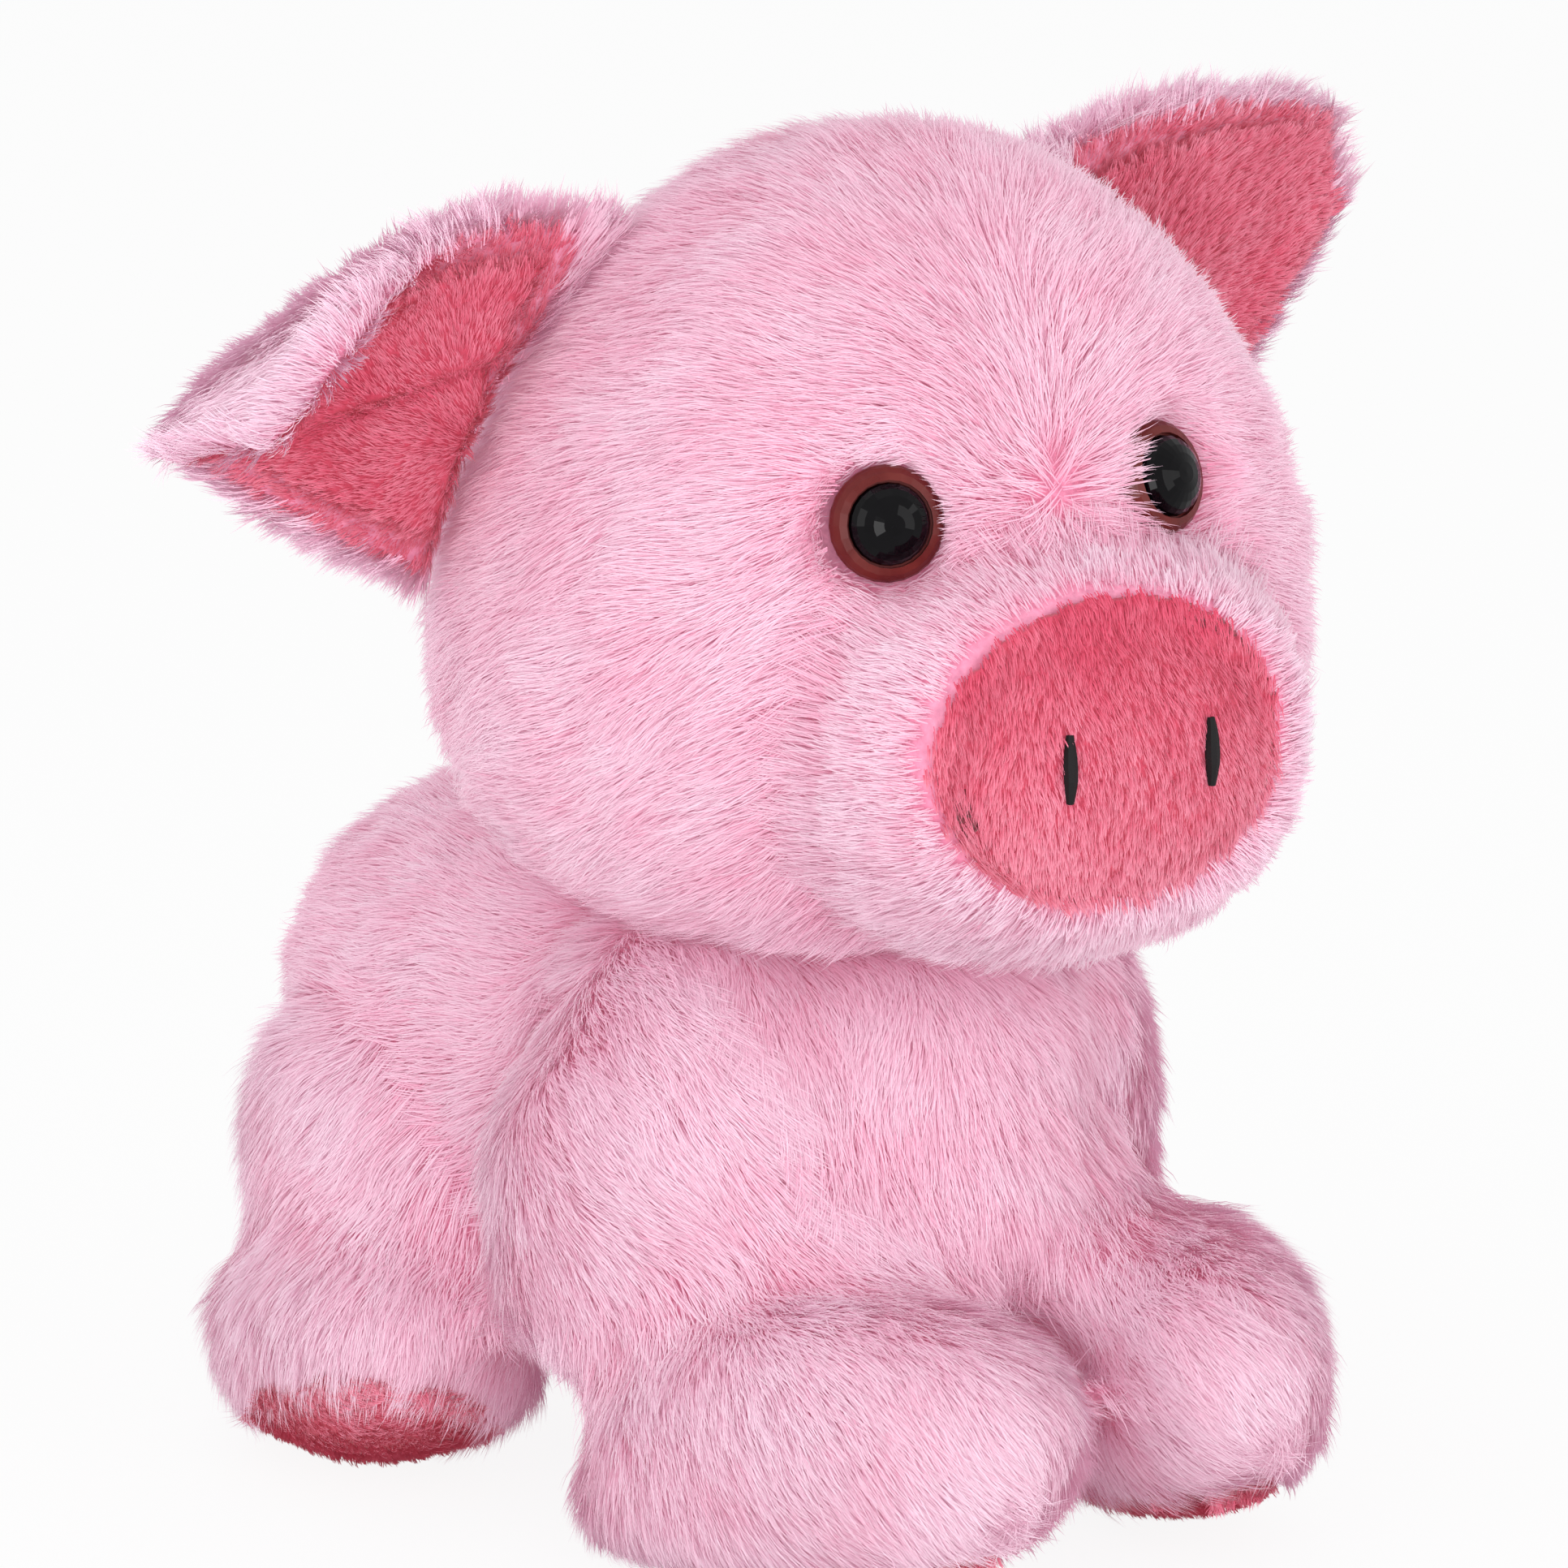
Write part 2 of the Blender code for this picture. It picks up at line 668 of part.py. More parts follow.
def make_eyes(neck, head_form, skin, fill, muzzle, pieces, cutters, finishes):
    """Each eye is an iris cap on a post, a pupil dome on the cap and a lock washer inside."""
    middle = UP * (HEAD_RISE - NECK_HEIGHT + HEAD_HEIGHT / 2)
    for side_name, side in SIDES.items():
        gaze = heading(side * EYE_TURN_DEG[side_name], EYE_LIFT_DEG[side_name])
        place, normal = surface_hit(head_form, middle, gaze)
        place -= normal * EYE_SINK
        spin = normal.to_track_quat("Z", "Y")
        iris = turned("eye_iris_" + side_name, iris_profile(), pieces, finishes["iris"])
        base = PUPIL_SEAT + GAP
        dome = dome_profile(PUPIL_RADIUS, base, PUPIL_DOME, DOME_STEPS) + [(0, base)]
        pupil = turned("eye_pupil_" + side_name, dome, pieces, finishes["pupil"])
        washer = turned("eye_washer_" + side_name, washer_profile(), pieces, finishes["washer"])
        hole_mesh = rod_mesh("hole", POST_RADIUS + GAP, -OVERRUN, OVERRUN, TURNED_STEPS)
        hole = add_cutter("eye_hole_" + side_name, hole_mesh, cutters)
        wide = WASHER_RADIUS + STUFFING_EASE
        deep = -POST_LENGTH - GAP
        seat_mesh = rod_mesh("seat", wide, deep, GAP - WASHER_SETBACK, LEG_RING_POINTS)
        seat = add_cutter("eye_seat_" + side_name, seat_mesh, cutters)
        pocket = add_cutter(
            "eye_pocket_" + side_name, rod_mesh("pocket", wide, deep, OVERRUN, LEG_RING_POINTS), cutters
        )
        parting_mesh = rod_mesh("parting", EYE_RADIUS + EYE_EASE, -GAP, OVERRUN, TURNED_STEPS)
        parting = add_cutter("eye_parting_" + side_name, parting_mesh, cutters)
        for obj in (iris, pupil, washer, hole, seat, pocket, parting):
            obj.parent = neck
            obj.location = place
            obj.rotation_mode = "QUATERNION"
            obj.rotation_quaternion = spin
        boolean(skin, "DIFFERENCE", hole)
        boolean(skin, "DIFFERENCE", seat)
        boolean(fill, "DIFFERENCE", pocket)
        boolean(skin, "DIFFERENCE", parting)
        boolean(muzzle, "DIFFERENCE", parting)


def iris_profile():
    """The iris cap with its seat for the pupil on top and its post below."""
    seat = PUPIL_RADIUS + GAP
    rim = EYE_RADIUS - seat
    profile = [(0, PUPIL_SEAT), (seat, PUPIL_SEAT)]
    for out_share, up_share in IRIS_RIM_SHARES:
        profile.append((seat + rim * out_share, EYE_DOME * up_share))
    profile += [(EYE_RADIUS, 0), (POST_RADIUS, 0), (POST_RADIUS, -POST_LENGTH), (0, -POST_LENGTH)]
    return profile


def washer_profile():
    bore = POST_RADIUS + GAP
    top = -WASHER_SETBACK
    base = top - WASHER_THICKNESS
    return [(bore, top), (WASHER_RADIUS, top), (WASHER_RADIUS, base), (bore, base), (bore, top)]


def ear_point(across_share, out_share, fold_share, tilt):
    """A point of the ear's sheet: how far out from its root, how far forwards and how far up."""
    taper = 1 - abs(out_share) ** EAR_TAPER
    width_share = EAR_TIP_SHARE + (1 - EAR_TIP_SHARE) * taper
    out = out_share * EAR_LENGTH
    up = EAR_ROOT / 2 * width_share * across_share + EAR_RISE * out_share
    forward = EAR_CUP * width_share * across_share**2 * math.sin(math.pi / 2 * out_share)
    if across_share > EAR_TUCK_SHARE:
        forward += EAR_TUCK * (1 - out_share)
    past = out * math.cos(tilt) + up * math.sin(tilt) - fold_share * EAR_LENGTH
    if past > 0:
        bend = min(past / EAR_FOLD_RADIUS, math.radians(EAR_FOLD_LIMIT_DEG))
        flap = past - EAR_FOLD_RADIUS * bend
        drawn = EAR_FOLD_RADIUS * math.sin(bend) + flap * math.cos(bend) - past
        out += drawn * math.cos(tilt)
        up += drawn * math.sin(tilt)
        forward += EAR_FOLD_RADIUS * (1 - math.cos(bend)) + flap * math.sin(bend)
    return out - EAR_SAG * across_share**2 * (1 - out_share), forward, up


def ear_facing(across_share, out_share, fold_share, tilt):
    """The way that the sheet's front faces, from two short steps along it."""
    here = Vector(ear_point(across_share, out_share, fold_share, tilt))
    outer = Vector(ear_point(across_share, out_share + EAR_STEP_SHARE, fold_share, tilt))
    upper = Vector(ear_point(across_share + EAR_STEP_SHARE, out_share, fold_share, tilt))
    return (upper - here).cross(outer - here).normalized()


def ear_sheet_mesh(name, side, fold_share, tilt, lift, border):
    """An open sheet of the ear's cloth, LIFT in front of its middle, less BORDER steps all round."""

    def build(shape):
        grid = []
        for out_share in EAR_OUT_SHARES[border : len(EAR_OUT_SHARES) - border]:
            row = []
            for across_share in EAR_ACROSS_SHARES[border : len(EAR_ACROSS_SHARES) - border]:
                sheet = (across_share, out_share, fold_share, tilt)
                out, forward, up = Vector(ear_point(*sheet)) + ear_facing(*sheet) * lift
                row.append(shape.verts.new((out, -side * forward, up)))
            grid.append(row)
        for near, far in zip(grid, grid[1:]):
            for i in range(len(near) - 1):
                shape.faces.new((near[i], near[i + 1], far[i + 1], far[i]))

    return mesh_from(name, build)


def ear_space_mesh(name, head_form, at_root):
    """The head as the ear's pivot sees it, at rest and at both limits of the ear's swing."""

    def build(shape):
        for swing in (-EAR_SWING_DEG, 0, EAR_SWING_DEG):
            start = len(shape.verts)
            shape.from_mesh(head_form.data)
            shape.verts.ensure_lookup_table()
            place = Matrix.Rotation(math.radians(swing), 4, "Z") @ at_root
            bmesh.ops.transform(shape, matrix=place, verts=shape.verts[start:])

    return mesh_from(name, build)


def make_ears(neck, head_form, pieces, cutters, finishes):
    """Each ear is a fur back and a velour lining, hinged along the seam at its root."""
    middle = UP * (HEAD_RISE - NECK_HEIGHT + HEAD_HEIGHT / 2)
    layers = (
        ("ear_", EAR_THICKNESS, 0, 0, "fur"),
        ("ear_lining_", VELOUR_WALL, (EAR_THICKNESS + VELOUR_WALL) / 2 + LINING_EASE, 1, "velour"),
    )
    for side_name, side in SIDES.items():
        seat_way = heading(side * EAR_SEAT_TURN_DEG[side_name], EAR_SEAT_LIFT_DEG[side_name])
        place, _ = surface_hit(head_form, middle, seat_way)
        outward = heading(side * EAR_TURN_DEG[side_name], EAR_LIFT_DEG[side_name])
        root_axis = (UP - outward * UP.dot(outward)).normalized()
        pivot = add_pivot("ear_" + side_name + "_pivot", place, 0, neck, pieces)
        pivot.rotation_mode = "QUATERNION"
        frame = Matrix((outward, root_axis.cross(outward), root_axis)).transposed()
        pivot.rotation_quaternion = frame.to_quaternion()
        at_root = (Matrix.Translation(place) @ frame.to_4x4()).inverted()
        space_mesh = ear_space_mesh(f"ear_{side_name}_space", head_form, at_root)
        space = soften(add_cutter(space_mesh.name, space_mesh, cutters))
        space.parent = pivot
        for prefix, thickness, lift, border, finish in layers:
            name = prefix + side_name
            tilt = math.radians(EAR_FOLD_TILT_DEG[side_name])
            mesh = ear_sheet_mesh(name, side, EAR_FOLD_SHARES[side_name], tilt, lift, border)
            cloth = add_object(name, mesh, pieces, finishes[finish])
            cloth.parent = pivot
            step = cloth.modifiers.new("cloth", "SOLIDIFY")
            step.thickness = thickness
            step.offset = 0
            step.use_even_offset = True
            boolean(cloth, "DIFFERENCE", space).use_self = True


class Leg:
    """One leg's place, its pivot and the sizes of its upper part, foot and sole."""

    def __init__(self, name, side, place, turn_deg, swing, root, pieces, **sizes):
        self.name = name
        self.side = side
        self.swing = swing
        self.height = place.z
        self.pivot = add_pivot(name + "_pivot", place, -side * turn_deg, root, pieces)
        for key, value in sizes.items():
            setattr(self, key, value)

    def upper_rings(self):
        """A round cap about the pivot, then a column down to the ankle."""
        middle = ACROSS * (self.side * (self.width / 2 - LEG_SINK))
        reach = self.radius - GAP
        rings = [(middle + UP * reach, 0, 0)]
        for angle_deg in CAP_ANGLES_DEG:
            angle = math.radians(angle_deg)
            rings.append(
                (
                    middle + UP * (reach * math.cos(angle)),
                    self.width / 2 * math.sqrt(math.sin(angle)),
                    reach * math.sin(angle),
                )
            )
        ankle = self.height - self.foot_height / 2
        for down, slim in COLUMN_SHARES:
            rings.append((middle - UP * (ankle * down), self.width / 2 * slim, reach * slim))
        rings.append((middle - UP * ankle, 0, 0))
        return rings

    def foot_rings(self, grow):
        middle = ACROSS * (self.side * (self.foot_width / 2 - LEG_SINK))
        low = -self.height - SOLE_PRESS
        rings = []
        for along, across, tall, dropped in FOOT_SHARES:
            y = self.heel - stretched(along, self.foot_length, -grow)
            half_tall = tall * self.foot_height / 2
            drop = (self.foot_height / 2 - half_tall) * dropped
            centre = middle + BACK * y + UP * (low + self.foot_height / 2 - drop)
            rings.append((centre, across * self.foot_width / 2 + grow, half_tall + grow))
        return rings

    def foot_mesh(self, name, grow=0):
        rings = self.foot_rings(grow)
        return soft_mesh(name, rings, LEG_RING_POINTS, ACROSS, UP, FOOT_SQUARENESS)

    def foot_spaces(self, prefix, grow, cutters):
        """The foot's space, grown by a clearance, in steps over the whole swing of the leg."""
        made = []
        low, high = self.swing
        steps = round((high - low) / SPACE_STEP_DEG)
        for i in range(steps + 1):
            name = f"{prefix}_{self.name}_foot_space_{i}"
            space = soften(add_cutter(name, self.foot_mesh(name, grow), cutters))
            space.parent = self.pivot
            space.rotation_euler.x = math.radians(low + (high - low) * i / steps)
            made.append(space)
        return made

    def sole_plane(self, name, clearance, cutters):
        """Everything under the seam between the foot's fur and its sole."""
        reach = self.foot_length + OVERRUN
        low = Vector((-reach, -reach, -reach))
        mesh = box_mesh(name, low, Vector((reach, reach, -clearance)))
        under = add_cutter(name, mesh, cutters)
        under.parent = self.pivot
        middle = self.side * self.foot_width / 2
        under.location = Vector((middle, self.heel - self.foot_length / 2, SOLE_RISE - self.height))
        slopes = (-math.radians(self.toe_slope), -self.side * math.radians(self.side_slope), 0)
        under.rotation_euler = slopes
        return under

    def make(self, pieces, cutters, finishes):
        upper_mesh = soft_mesh(self.name, self.upper_rings(), LEG_RING_POINTS, ACROSS, BACK, SQUARENESS)
        leg = soften(add_object(self.name, upper_mesh, pieces, finishes["fur"]))
        foot = soften(add_cutter(self.name + "_foot", self.foot_mesh(self.name + "_foot"), cutters))
        sole_name = self.name.replace("leg", "sole")
        sole = soften(add_object(sole_name, self.foot_mesh(sole_name), pieces, finishes["velour"]))
        for obj in (leg, foot, sole):
            obj.parent = self.pivot
        boolean(leg, "UNION", foot)
        boolean(leg, "DIFFERENCE", self.sole_plane(self.name + "_sole_cut", 0, cutters))
        boolean(sole, "INTERSECT", self.sole_plane(sole_name + "_keep", GAP, cutters))
        reach = HEAD_WIDTH + OVERRUN
        near = Vector((-reach, -reach, -reach))
        wall_mesh = box_mesh(self.name + "_wall", near, Vector((GAP, reach, reach)))
        wall = add_cutter(self.name + "_wall", wall_mesh, cutters)
        wall.parent = self.pivot
        wall.scale.x = self.side
        for obj in (leg, sole):
            boolean(obj, "DIFFERENCE", wall)
            make_floor(obj, -self.height, self.pivot, cutters)


def make_legs(root, pieces):
    """The four legs with their pivots, in the order front then hind on each side."""
    legs = []
    for side_name, side in SIDES.items():
        legs.append(
            Leg(
                "front_leg_" + side_name,
                side,
                Vector((side * SHOULDER_SPREAD[side_name], SHOULDER_SETBACK[side_name], SHOULDER_HEIGHT)),
                FRONT_TOE_TURN_DEG[side_name],
                FRONT_SWING_DEG,
                root,
                pieces,
                radius=SHOULDER_RADIUS,
                width=FRONT_LEG_WIDTH,
                foot_length=FRONT_FOOT_LENGTH,
                foot_width=FRONT_FOOT_WIDTH,
                foot_height=FRONT_FOOT_HEIGHT,
                heel=FRONT_HEEL,
                toe_slope=FRONT_SOLE_TOE_SLOPE_DEG,
                side_slope=FRONT_SOLE_SIDE_SLOPE_DEG,
            )
        )
        legs.append(
            Leg(
                "hind_leg_" + side_name,
                side,
                Vector((side * HIP_SPREAD[side_name], HIP_SETBACK, HIP_HEIGHT)),
                HIND_TOE_TURN_DEG[side_name],
                HIND_SWING_DEG,
                root,
                pieces,
                radius=HIP_RADIUS,
                width=HIND_LEG_WIDTH,
                foot_length=HIND_FOOT_LENGTH,
                foot_width=HIND_FOOT_WIDTH,
                foot_height=HIND_FOOT_HEIGHT,
                heel=HIND_HEEL,
                toe_slope=HIND_SOLE_TOE_SLOPE_DEG,
                side_slope=HIND_SOLE_SIDE_SLOPE_DEG,
            )
        )
    return legs


def make_tail(root, torso_form, pieces, finishes):
    """A small curled tail, hinged where it is sewn into the rump seam."""
    place, normal = surface_hit(torso_form, Vector((0, HIP_SETBACK, TAIL_HEIGHT)), BACK)
    pivot = add_pivot("tail_pivot", place + normal * TAIL_RADIUS, 0, root, pieces)
    path = []
    radii = []
    for angle_deg in TAIL_ROOT_ANGLES_DEG:
        angle = math.radians(angle_deg)
        path.append(BACK * (-TAIL_RADIUS * math.cos(angle)))
        radii.append(TAIL_RADIUS * math.sin(angle))
    for i in range(TAIL_POINTS):
        share = i / (TAIL_POINTS - 1)
        angle = 2 * math.pi * TAIL_TURNS * share
        curl = TAIL_CURL_RADIUS * share**TAIL_CURL_EASE
        across = curl * math.sin(angle)
        path.append(Vector((across, TAIL_PITCH * TAIL_TURNS * share, curl * (1 - math.cos(angle)))))
        radii.append(TAIL_RADIUS * (1 - TAIL_TAPER_SHARE * share))
    tube("tail", path, radii, pivot, pieces, finishes["velour"])


def seat_on_origin(root, pieces):
    """Moves the whole pig so that the middle of its base is at the origin."""
    bpy.context.view_layer.update()
    graph = bpy.context.evaluated_depsgraph_get()
    places = []
    for obj in pieces.objects:
        if obj.type == "EMPTY":
            continue
        finished = obj.evaluated_get(graph)
        mesh = finished.to_mesh()
        places += [obj.matrix_world @ vertex.co for vertex in mesh.vertices]
        finished.to_mesh_clear()
    for axis in range(2):
        values = [place[axis] for place in places]
        root.location[axis] -= (min(values) + max(values)) / 2


def main():
    clear_scene()
    pieces = new_collection("plush_pig")
    cutters = new_collection("cutters")
    finishes = {
        "fur": material("pink_fur", FUR_PINK, FUR_ROUGHNESS, FUR_SHEEN),
        "velour": material("deep_pink_velour", VELOUR_PINK, VELOUR_ROUGHNESS, VELOUR_SHEEN),
        "iris": material("brown_eye_plastic", IRIS_BROWN, IRIS_ROUGHNESS),
        "pupil": material("black_eye_plastic", PUPIL_BLACK, PUPIL_ROUGHNESS),
        "thread": material("black_thread", THREAD_BLACK, THREAD_ROUGHNESS),
        "fill": material("white_stuffing", STUFFING_WHITE, STUFFING_ROUGHNESS),
        "pouch": material("pellet_pouch_cloth", POUCH_GREY, POUCH_ROUGHNESS),
        "washer": material("white_washer_plastic", WASHER_WHITE, WASHER_ROUGHNESS),
    }
    root = add_pivot("plush_pig_root", Vector((0, 0, 0)), 0, None, pieces)
    neck = add_pivot("neck_pivot", Vector((0, HEAD_SETBACK, NECK_HEIGHT)), 0, root, pieces)
    head_form = soften(add_cutter("head_form", head_mesh("head_form", -GAP), cutters))
    head_form.parent = neck
    torso_form = soften(add_cutter("torso_form", torso_mesh("torso_form", -GAP), cutters))
    torso_form.parent = root
    legs = make_legs(root, pieces)
    skin, head_fill = make_head(neck, pieces, cutters, finishes)
    torso_fill = make_torso(root, neck, legs, pieces, cutters, finishes)
    make_pouch(torso_fill, root, pieces, cutters, finishes)
    muzzle = make_muzzle(neck, head_form, pieces, cutters, finishes)
    make_eyes(neck, head_form, skin, head_fill, muzzle, pieces, cutters, finishes)
    make_ears(neck, head_form, pieces, cutters, finishes)
    for leg in legs:
        leg.make(pieces, cutters, finishes)
    make_tail(root, torso_form, pieces, finishes)
    neck.rotation_euler.z = math.radians(HEAD_TURN_DEG)
    seat_on_origin(root, pieces)


main()
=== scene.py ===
import json
import math

import bmesh
import bpy
import numpy as np
from mathutils import Matrix, Vector
from mathutils.bvhtree import BVHTree


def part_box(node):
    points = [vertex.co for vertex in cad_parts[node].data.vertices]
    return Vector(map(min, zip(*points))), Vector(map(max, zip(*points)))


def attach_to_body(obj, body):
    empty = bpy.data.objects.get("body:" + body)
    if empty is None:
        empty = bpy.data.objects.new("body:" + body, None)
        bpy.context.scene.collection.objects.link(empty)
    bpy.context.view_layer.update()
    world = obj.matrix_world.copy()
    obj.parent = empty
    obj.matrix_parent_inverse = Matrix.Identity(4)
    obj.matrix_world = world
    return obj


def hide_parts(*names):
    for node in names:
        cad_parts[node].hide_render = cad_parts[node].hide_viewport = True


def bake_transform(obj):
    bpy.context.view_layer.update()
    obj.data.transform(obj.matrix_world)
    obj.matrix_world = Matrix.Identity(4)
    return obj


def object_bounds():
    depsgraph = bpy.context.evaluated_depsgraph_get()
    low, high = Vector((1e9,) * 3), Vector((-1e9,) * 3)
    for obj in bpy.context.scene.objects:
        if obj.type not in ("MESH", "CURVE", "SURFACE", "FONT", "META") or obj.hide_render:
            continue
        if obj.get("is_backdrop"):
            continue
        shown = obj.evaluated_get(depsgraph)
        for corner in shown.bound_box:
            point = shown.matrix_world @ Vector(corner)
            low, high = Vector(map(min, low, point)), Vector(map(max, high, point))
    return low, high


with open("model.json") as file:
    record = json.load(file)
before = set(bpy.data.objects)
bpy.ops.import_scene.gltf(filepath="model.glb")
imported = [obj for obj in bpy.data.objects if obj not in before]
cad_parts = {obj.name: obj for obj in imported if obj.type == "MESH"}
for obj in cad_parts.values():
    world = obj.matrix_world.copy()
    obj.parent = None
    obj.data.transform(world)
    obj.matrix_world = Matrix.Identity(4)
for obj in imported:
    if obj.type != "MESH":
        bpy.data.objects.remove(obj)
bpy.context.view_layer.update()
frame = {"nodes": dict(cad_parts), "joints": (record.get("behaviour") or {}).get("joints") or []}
nodes = frame["nodes"]
joints = {joint["name"]: joint for joint in frame["joints"]}

# Lengths are in metres.
MM = 0.001
SIDES = {"right": -1, "left": 1}

# The camera, as fitted to the photograph: its turn about the pig, its height and its scale.
CAMERA_TURN_DEG = -36
CAMERA_LIFT_DEG = 13
CAMERA_DISTANCE = 1.15
FRAME_WIDE = 0.20707
FRAME_RIGHT = -0.0021
FRAME_UP = 0.0922
FRAME_NEAR = 0.041
TORSO_FRONT = -0.047

# The soft forms: voxels, and how far pieces are swollen while they are joined, to close their seams.
BODY_VOXEL = 1.6 * MM
EAR_VOXEL = 1.2 * MM
THIN_VOXEL = 1.0 * MM
FILL_SWELL = 1.0 * MM
SEAM_SWELL = 3.8 * MM
FACE_SWELL = 1.8 * MM

# The strands: at most STRAND_LIMIT in a piece, each with these levels from root to tip.
SEED = 7
STRAND_LIMIT = 37000
STRAND_LEVELS = (0.0, 0.36, 0.72, 1.0)
STRAND_TAPER = (1.0, 0.95, 0.70, 0.0)
STRAND_REACH_POWER = 1.15
STRAND_ARCH_POWER = 1.6
FLOOR_CLEAR = 0.4 * MM

# The clumps wander over a form in waves, each an amount, a wavelength and the number of its draw.
CLUMP_JITTER = 0.35 * MM
TURN_WAVES = ((0.18, 21 * MM, 11), (0.12, 7 * MM, 12))
LIFT_WAVES = ((0.12, 9 * MM, 13),)
REACH_WAVES = ((0.07, 12 * MM, 14),)
TONE_WAVES = ((0.13, 15 * MM, 15), (0.09, 5 * MM, 16))
# Painted shade in creases and painted light on ridges: the pile's colour is this much deeper for each
# millimetre of crease, and paler on a ridge.
HOLLOW_PAINTED_SHADE = 0.12
PARTED_SHORT = 0.8
PARTED_SHADE = 0.40
# Painted shade: pile that runs close into a neighbouring part is given deeper colour.
NEIGHBOUR_PAINTED_SHADE = 0.25
NEIGHBOUR_LEAST = 0.3


def unit(vectors):
    return vectors / np.maximum(np.linalg.norm(vectors, axis=-1, keepdims=True), 1e-12)


def linear(colour):
    """An 8-bit display colour as the shader's linear one."""
    parts = [c / 255 for c in colour]
    return [c / 12.92 if c <= 0.04045 else ((c + 0.055) / 1.055) ** 2.4 for c in parts] + [1.0]


def waves(points, wavelength, seed, count=9):
    """Smooth noise, about -1 to 1, from a few sine waves in random directions."""
    draw = np.random.default_rng(seed)
    turns = unit(draw.normal(size=(count, 3)))
    lengths = wavelength * draw.uniform(0.7, 1.4, count)
    phases = draw.uniform(0, 2 * math.pi, count)
    angles = points @ (turns / lengths[:, None]).T * 2 * math.pi + phases
    return np.sin(angles).sum(axis=-1) / math.sqrt(count)


def wandering(points, parts, seed):
    """The sum of several waves over POINTS."""
    return sum(amount * waves(points, wavelength, number + seed) for amount, wavelength, number in parts)


class Form:
    """A soft surface of points and four-sided faces."""

    def __init__(self, points, quads):
        self.points = points
        self.quads = quads

    def normals(self):
        corner = self.points[self.quads]
        face = np.cross(corner[:, 2] - corner[:, 0], corner[:, 3] - corner[:, 1])
        total = np.zeros_like(self.points)
        for k in range(4):
            for axis in range(3):
                total[:, axis] += np.bincount(self.quads[:, k], face[:, axis], len(total))
        return unit(total)

    def area(self):
        corner = self.points[self.quads]
        face = np.cross(corner[:, 2] - corner[:, 0], corner[:, 3] - corner[:, 1])
        return float(np.linalg.norm(face, axis=1).sum() / 2)

    def smoothed(self, values, rounds):
        """VALUES, one row a point, evened out with those of the neighbours."""
        pairs = np.concatenate([self.quads[:, [k, (k + 1) % 4]] for k in range(4)])
        pairs = np.unique(np.sort(pairs, axis=1), axis=0)
        ends = np.concatenate([pairs, pairs[:, ::-1]])
        many = np.bincount(ends[:, 0], minlength=len(self.points))[:, None]
        for _ in range(rounds):
            sums = [np.bincount(ends[:, 0], column[ends[:, 1]], len(values)) for column in values.T]
            values = 0.5 * values + 0.5 * np.stack(sums, axis=1) / many
        return values

    def smooth(self, rounds):
        """Evens the surface out and gives it back the volume that this takes."""
        before = self.points
        self.points = self.smoothed(before, rounds)
        normals = self.normals()
        lost = ((before - self.points) * normals).sum(axis=1, keepdims=True)
        self.points = self.points + normals * self.smoothed(lost, 3 * rounds)

    def swell(self, by):
        self.points = self.points + self.normals() * by

    def hollows(self):
        """How deep each point lies in a crease, in metres; negative on a ridge."""
        return ((self.smoothed(self.points, 14) - self.points) * self.normals()).sum(axis=1)


def add_mesh(name, points, faces, finish):
    mesh = bpy.data.meshes.new(name)
    mesh.from_pydata(points.tolist(), [], faces)
    mesh.shade_smooth()
    mesh.materials.append(finishes[finish])
    made = bpy.data.objects.new(name, mesh)
    bpy.context.scene.collection.objects.link(made)
    return made


def largest(points, quads):
    """The largest connected part of a mesh."""
    label = np.arange(len(points))
    while True:
        low = label[quads].min(axis=1)
        new = label.copy()
        for k in range(4):
            np.minimum.at(new, quads[:, k], low)
        new = new[new]
        if (new == label).all():
            break
        label = new
    names, sizes = np.unique(label, return_counts=True)
    kept = label == names[sizes.argmax()]
    number = np.cumsum(kept) - 1
    inside = kept[quads].all(axis=1)
    return points[kept], number[quads[inside]]


def solid_form(skins, fills, voxel, rounds, swell=0.0, swellings=()):
    """The outer surface of CAD solids, with what fills and rounds them out, as one even mesh."""
    whole = bmesh.new()
    for name in [*skins, *fills]:
        part = bmesh.new()
        part.from_mesh(nodes[name].data)
        bmesh.ops.remove_doubles(part, verts=part.verts, dist=1e-6)
        part.normal_update()
        more = swell + (FILL_SWELL if name in fills else 0)
        for v in part.verts:
            v.co += v.normal * more
        mesh = bpy.data.meshes.new("part")
        part.to_mesh(mesh)
        whole.from_mesh(mesh)
        part.free()
        bpy.data.meshes.remove(mesh)
    for middle, radii in swellings:
        radii = Vector(radii) + Vector((swell, swell, swell))
        place = Matrix.LocRotScale(Vector(middle), None, radii)
        bmesh.ops.create_icosphere(whole, subdivisions=3, radius=1.0, matrix=place)
    mesh = bpy.data.meshes.new("whole")
    whole.to_mesh(mesh)
    whole.free()
    made = bpy.data.objects.new("whole", mesh)
    bpy.context.scene.collection.objects.link(made)
    remesh = made.modifiers.new("Remesh", "REMESH")
    remesh.mode = "VOXEL"
    remesh.voxel_size = voxel
    even = made.evaluated_get(bpy.context.evaluated_depsgraph_get()).to_mesh()
    points = np.empty(len(even.vertices) * 3)
    even.vertices.foreach_get("co", points)
    quads = np.empty(len(even.loops), np.int32)
    even.loops.foreach_get("vertex_index", quads)
    points, quads = largest(points.reshape(-1, 3), quads.reshape(-1, 4))
    bpy.data.objects.remove(made)
    bpy.data.meshes.remove(mesh)
    form = Form(points, quads)
    form.smooth(rounds)
    if swell:
        form.swell(-swell)
    return form


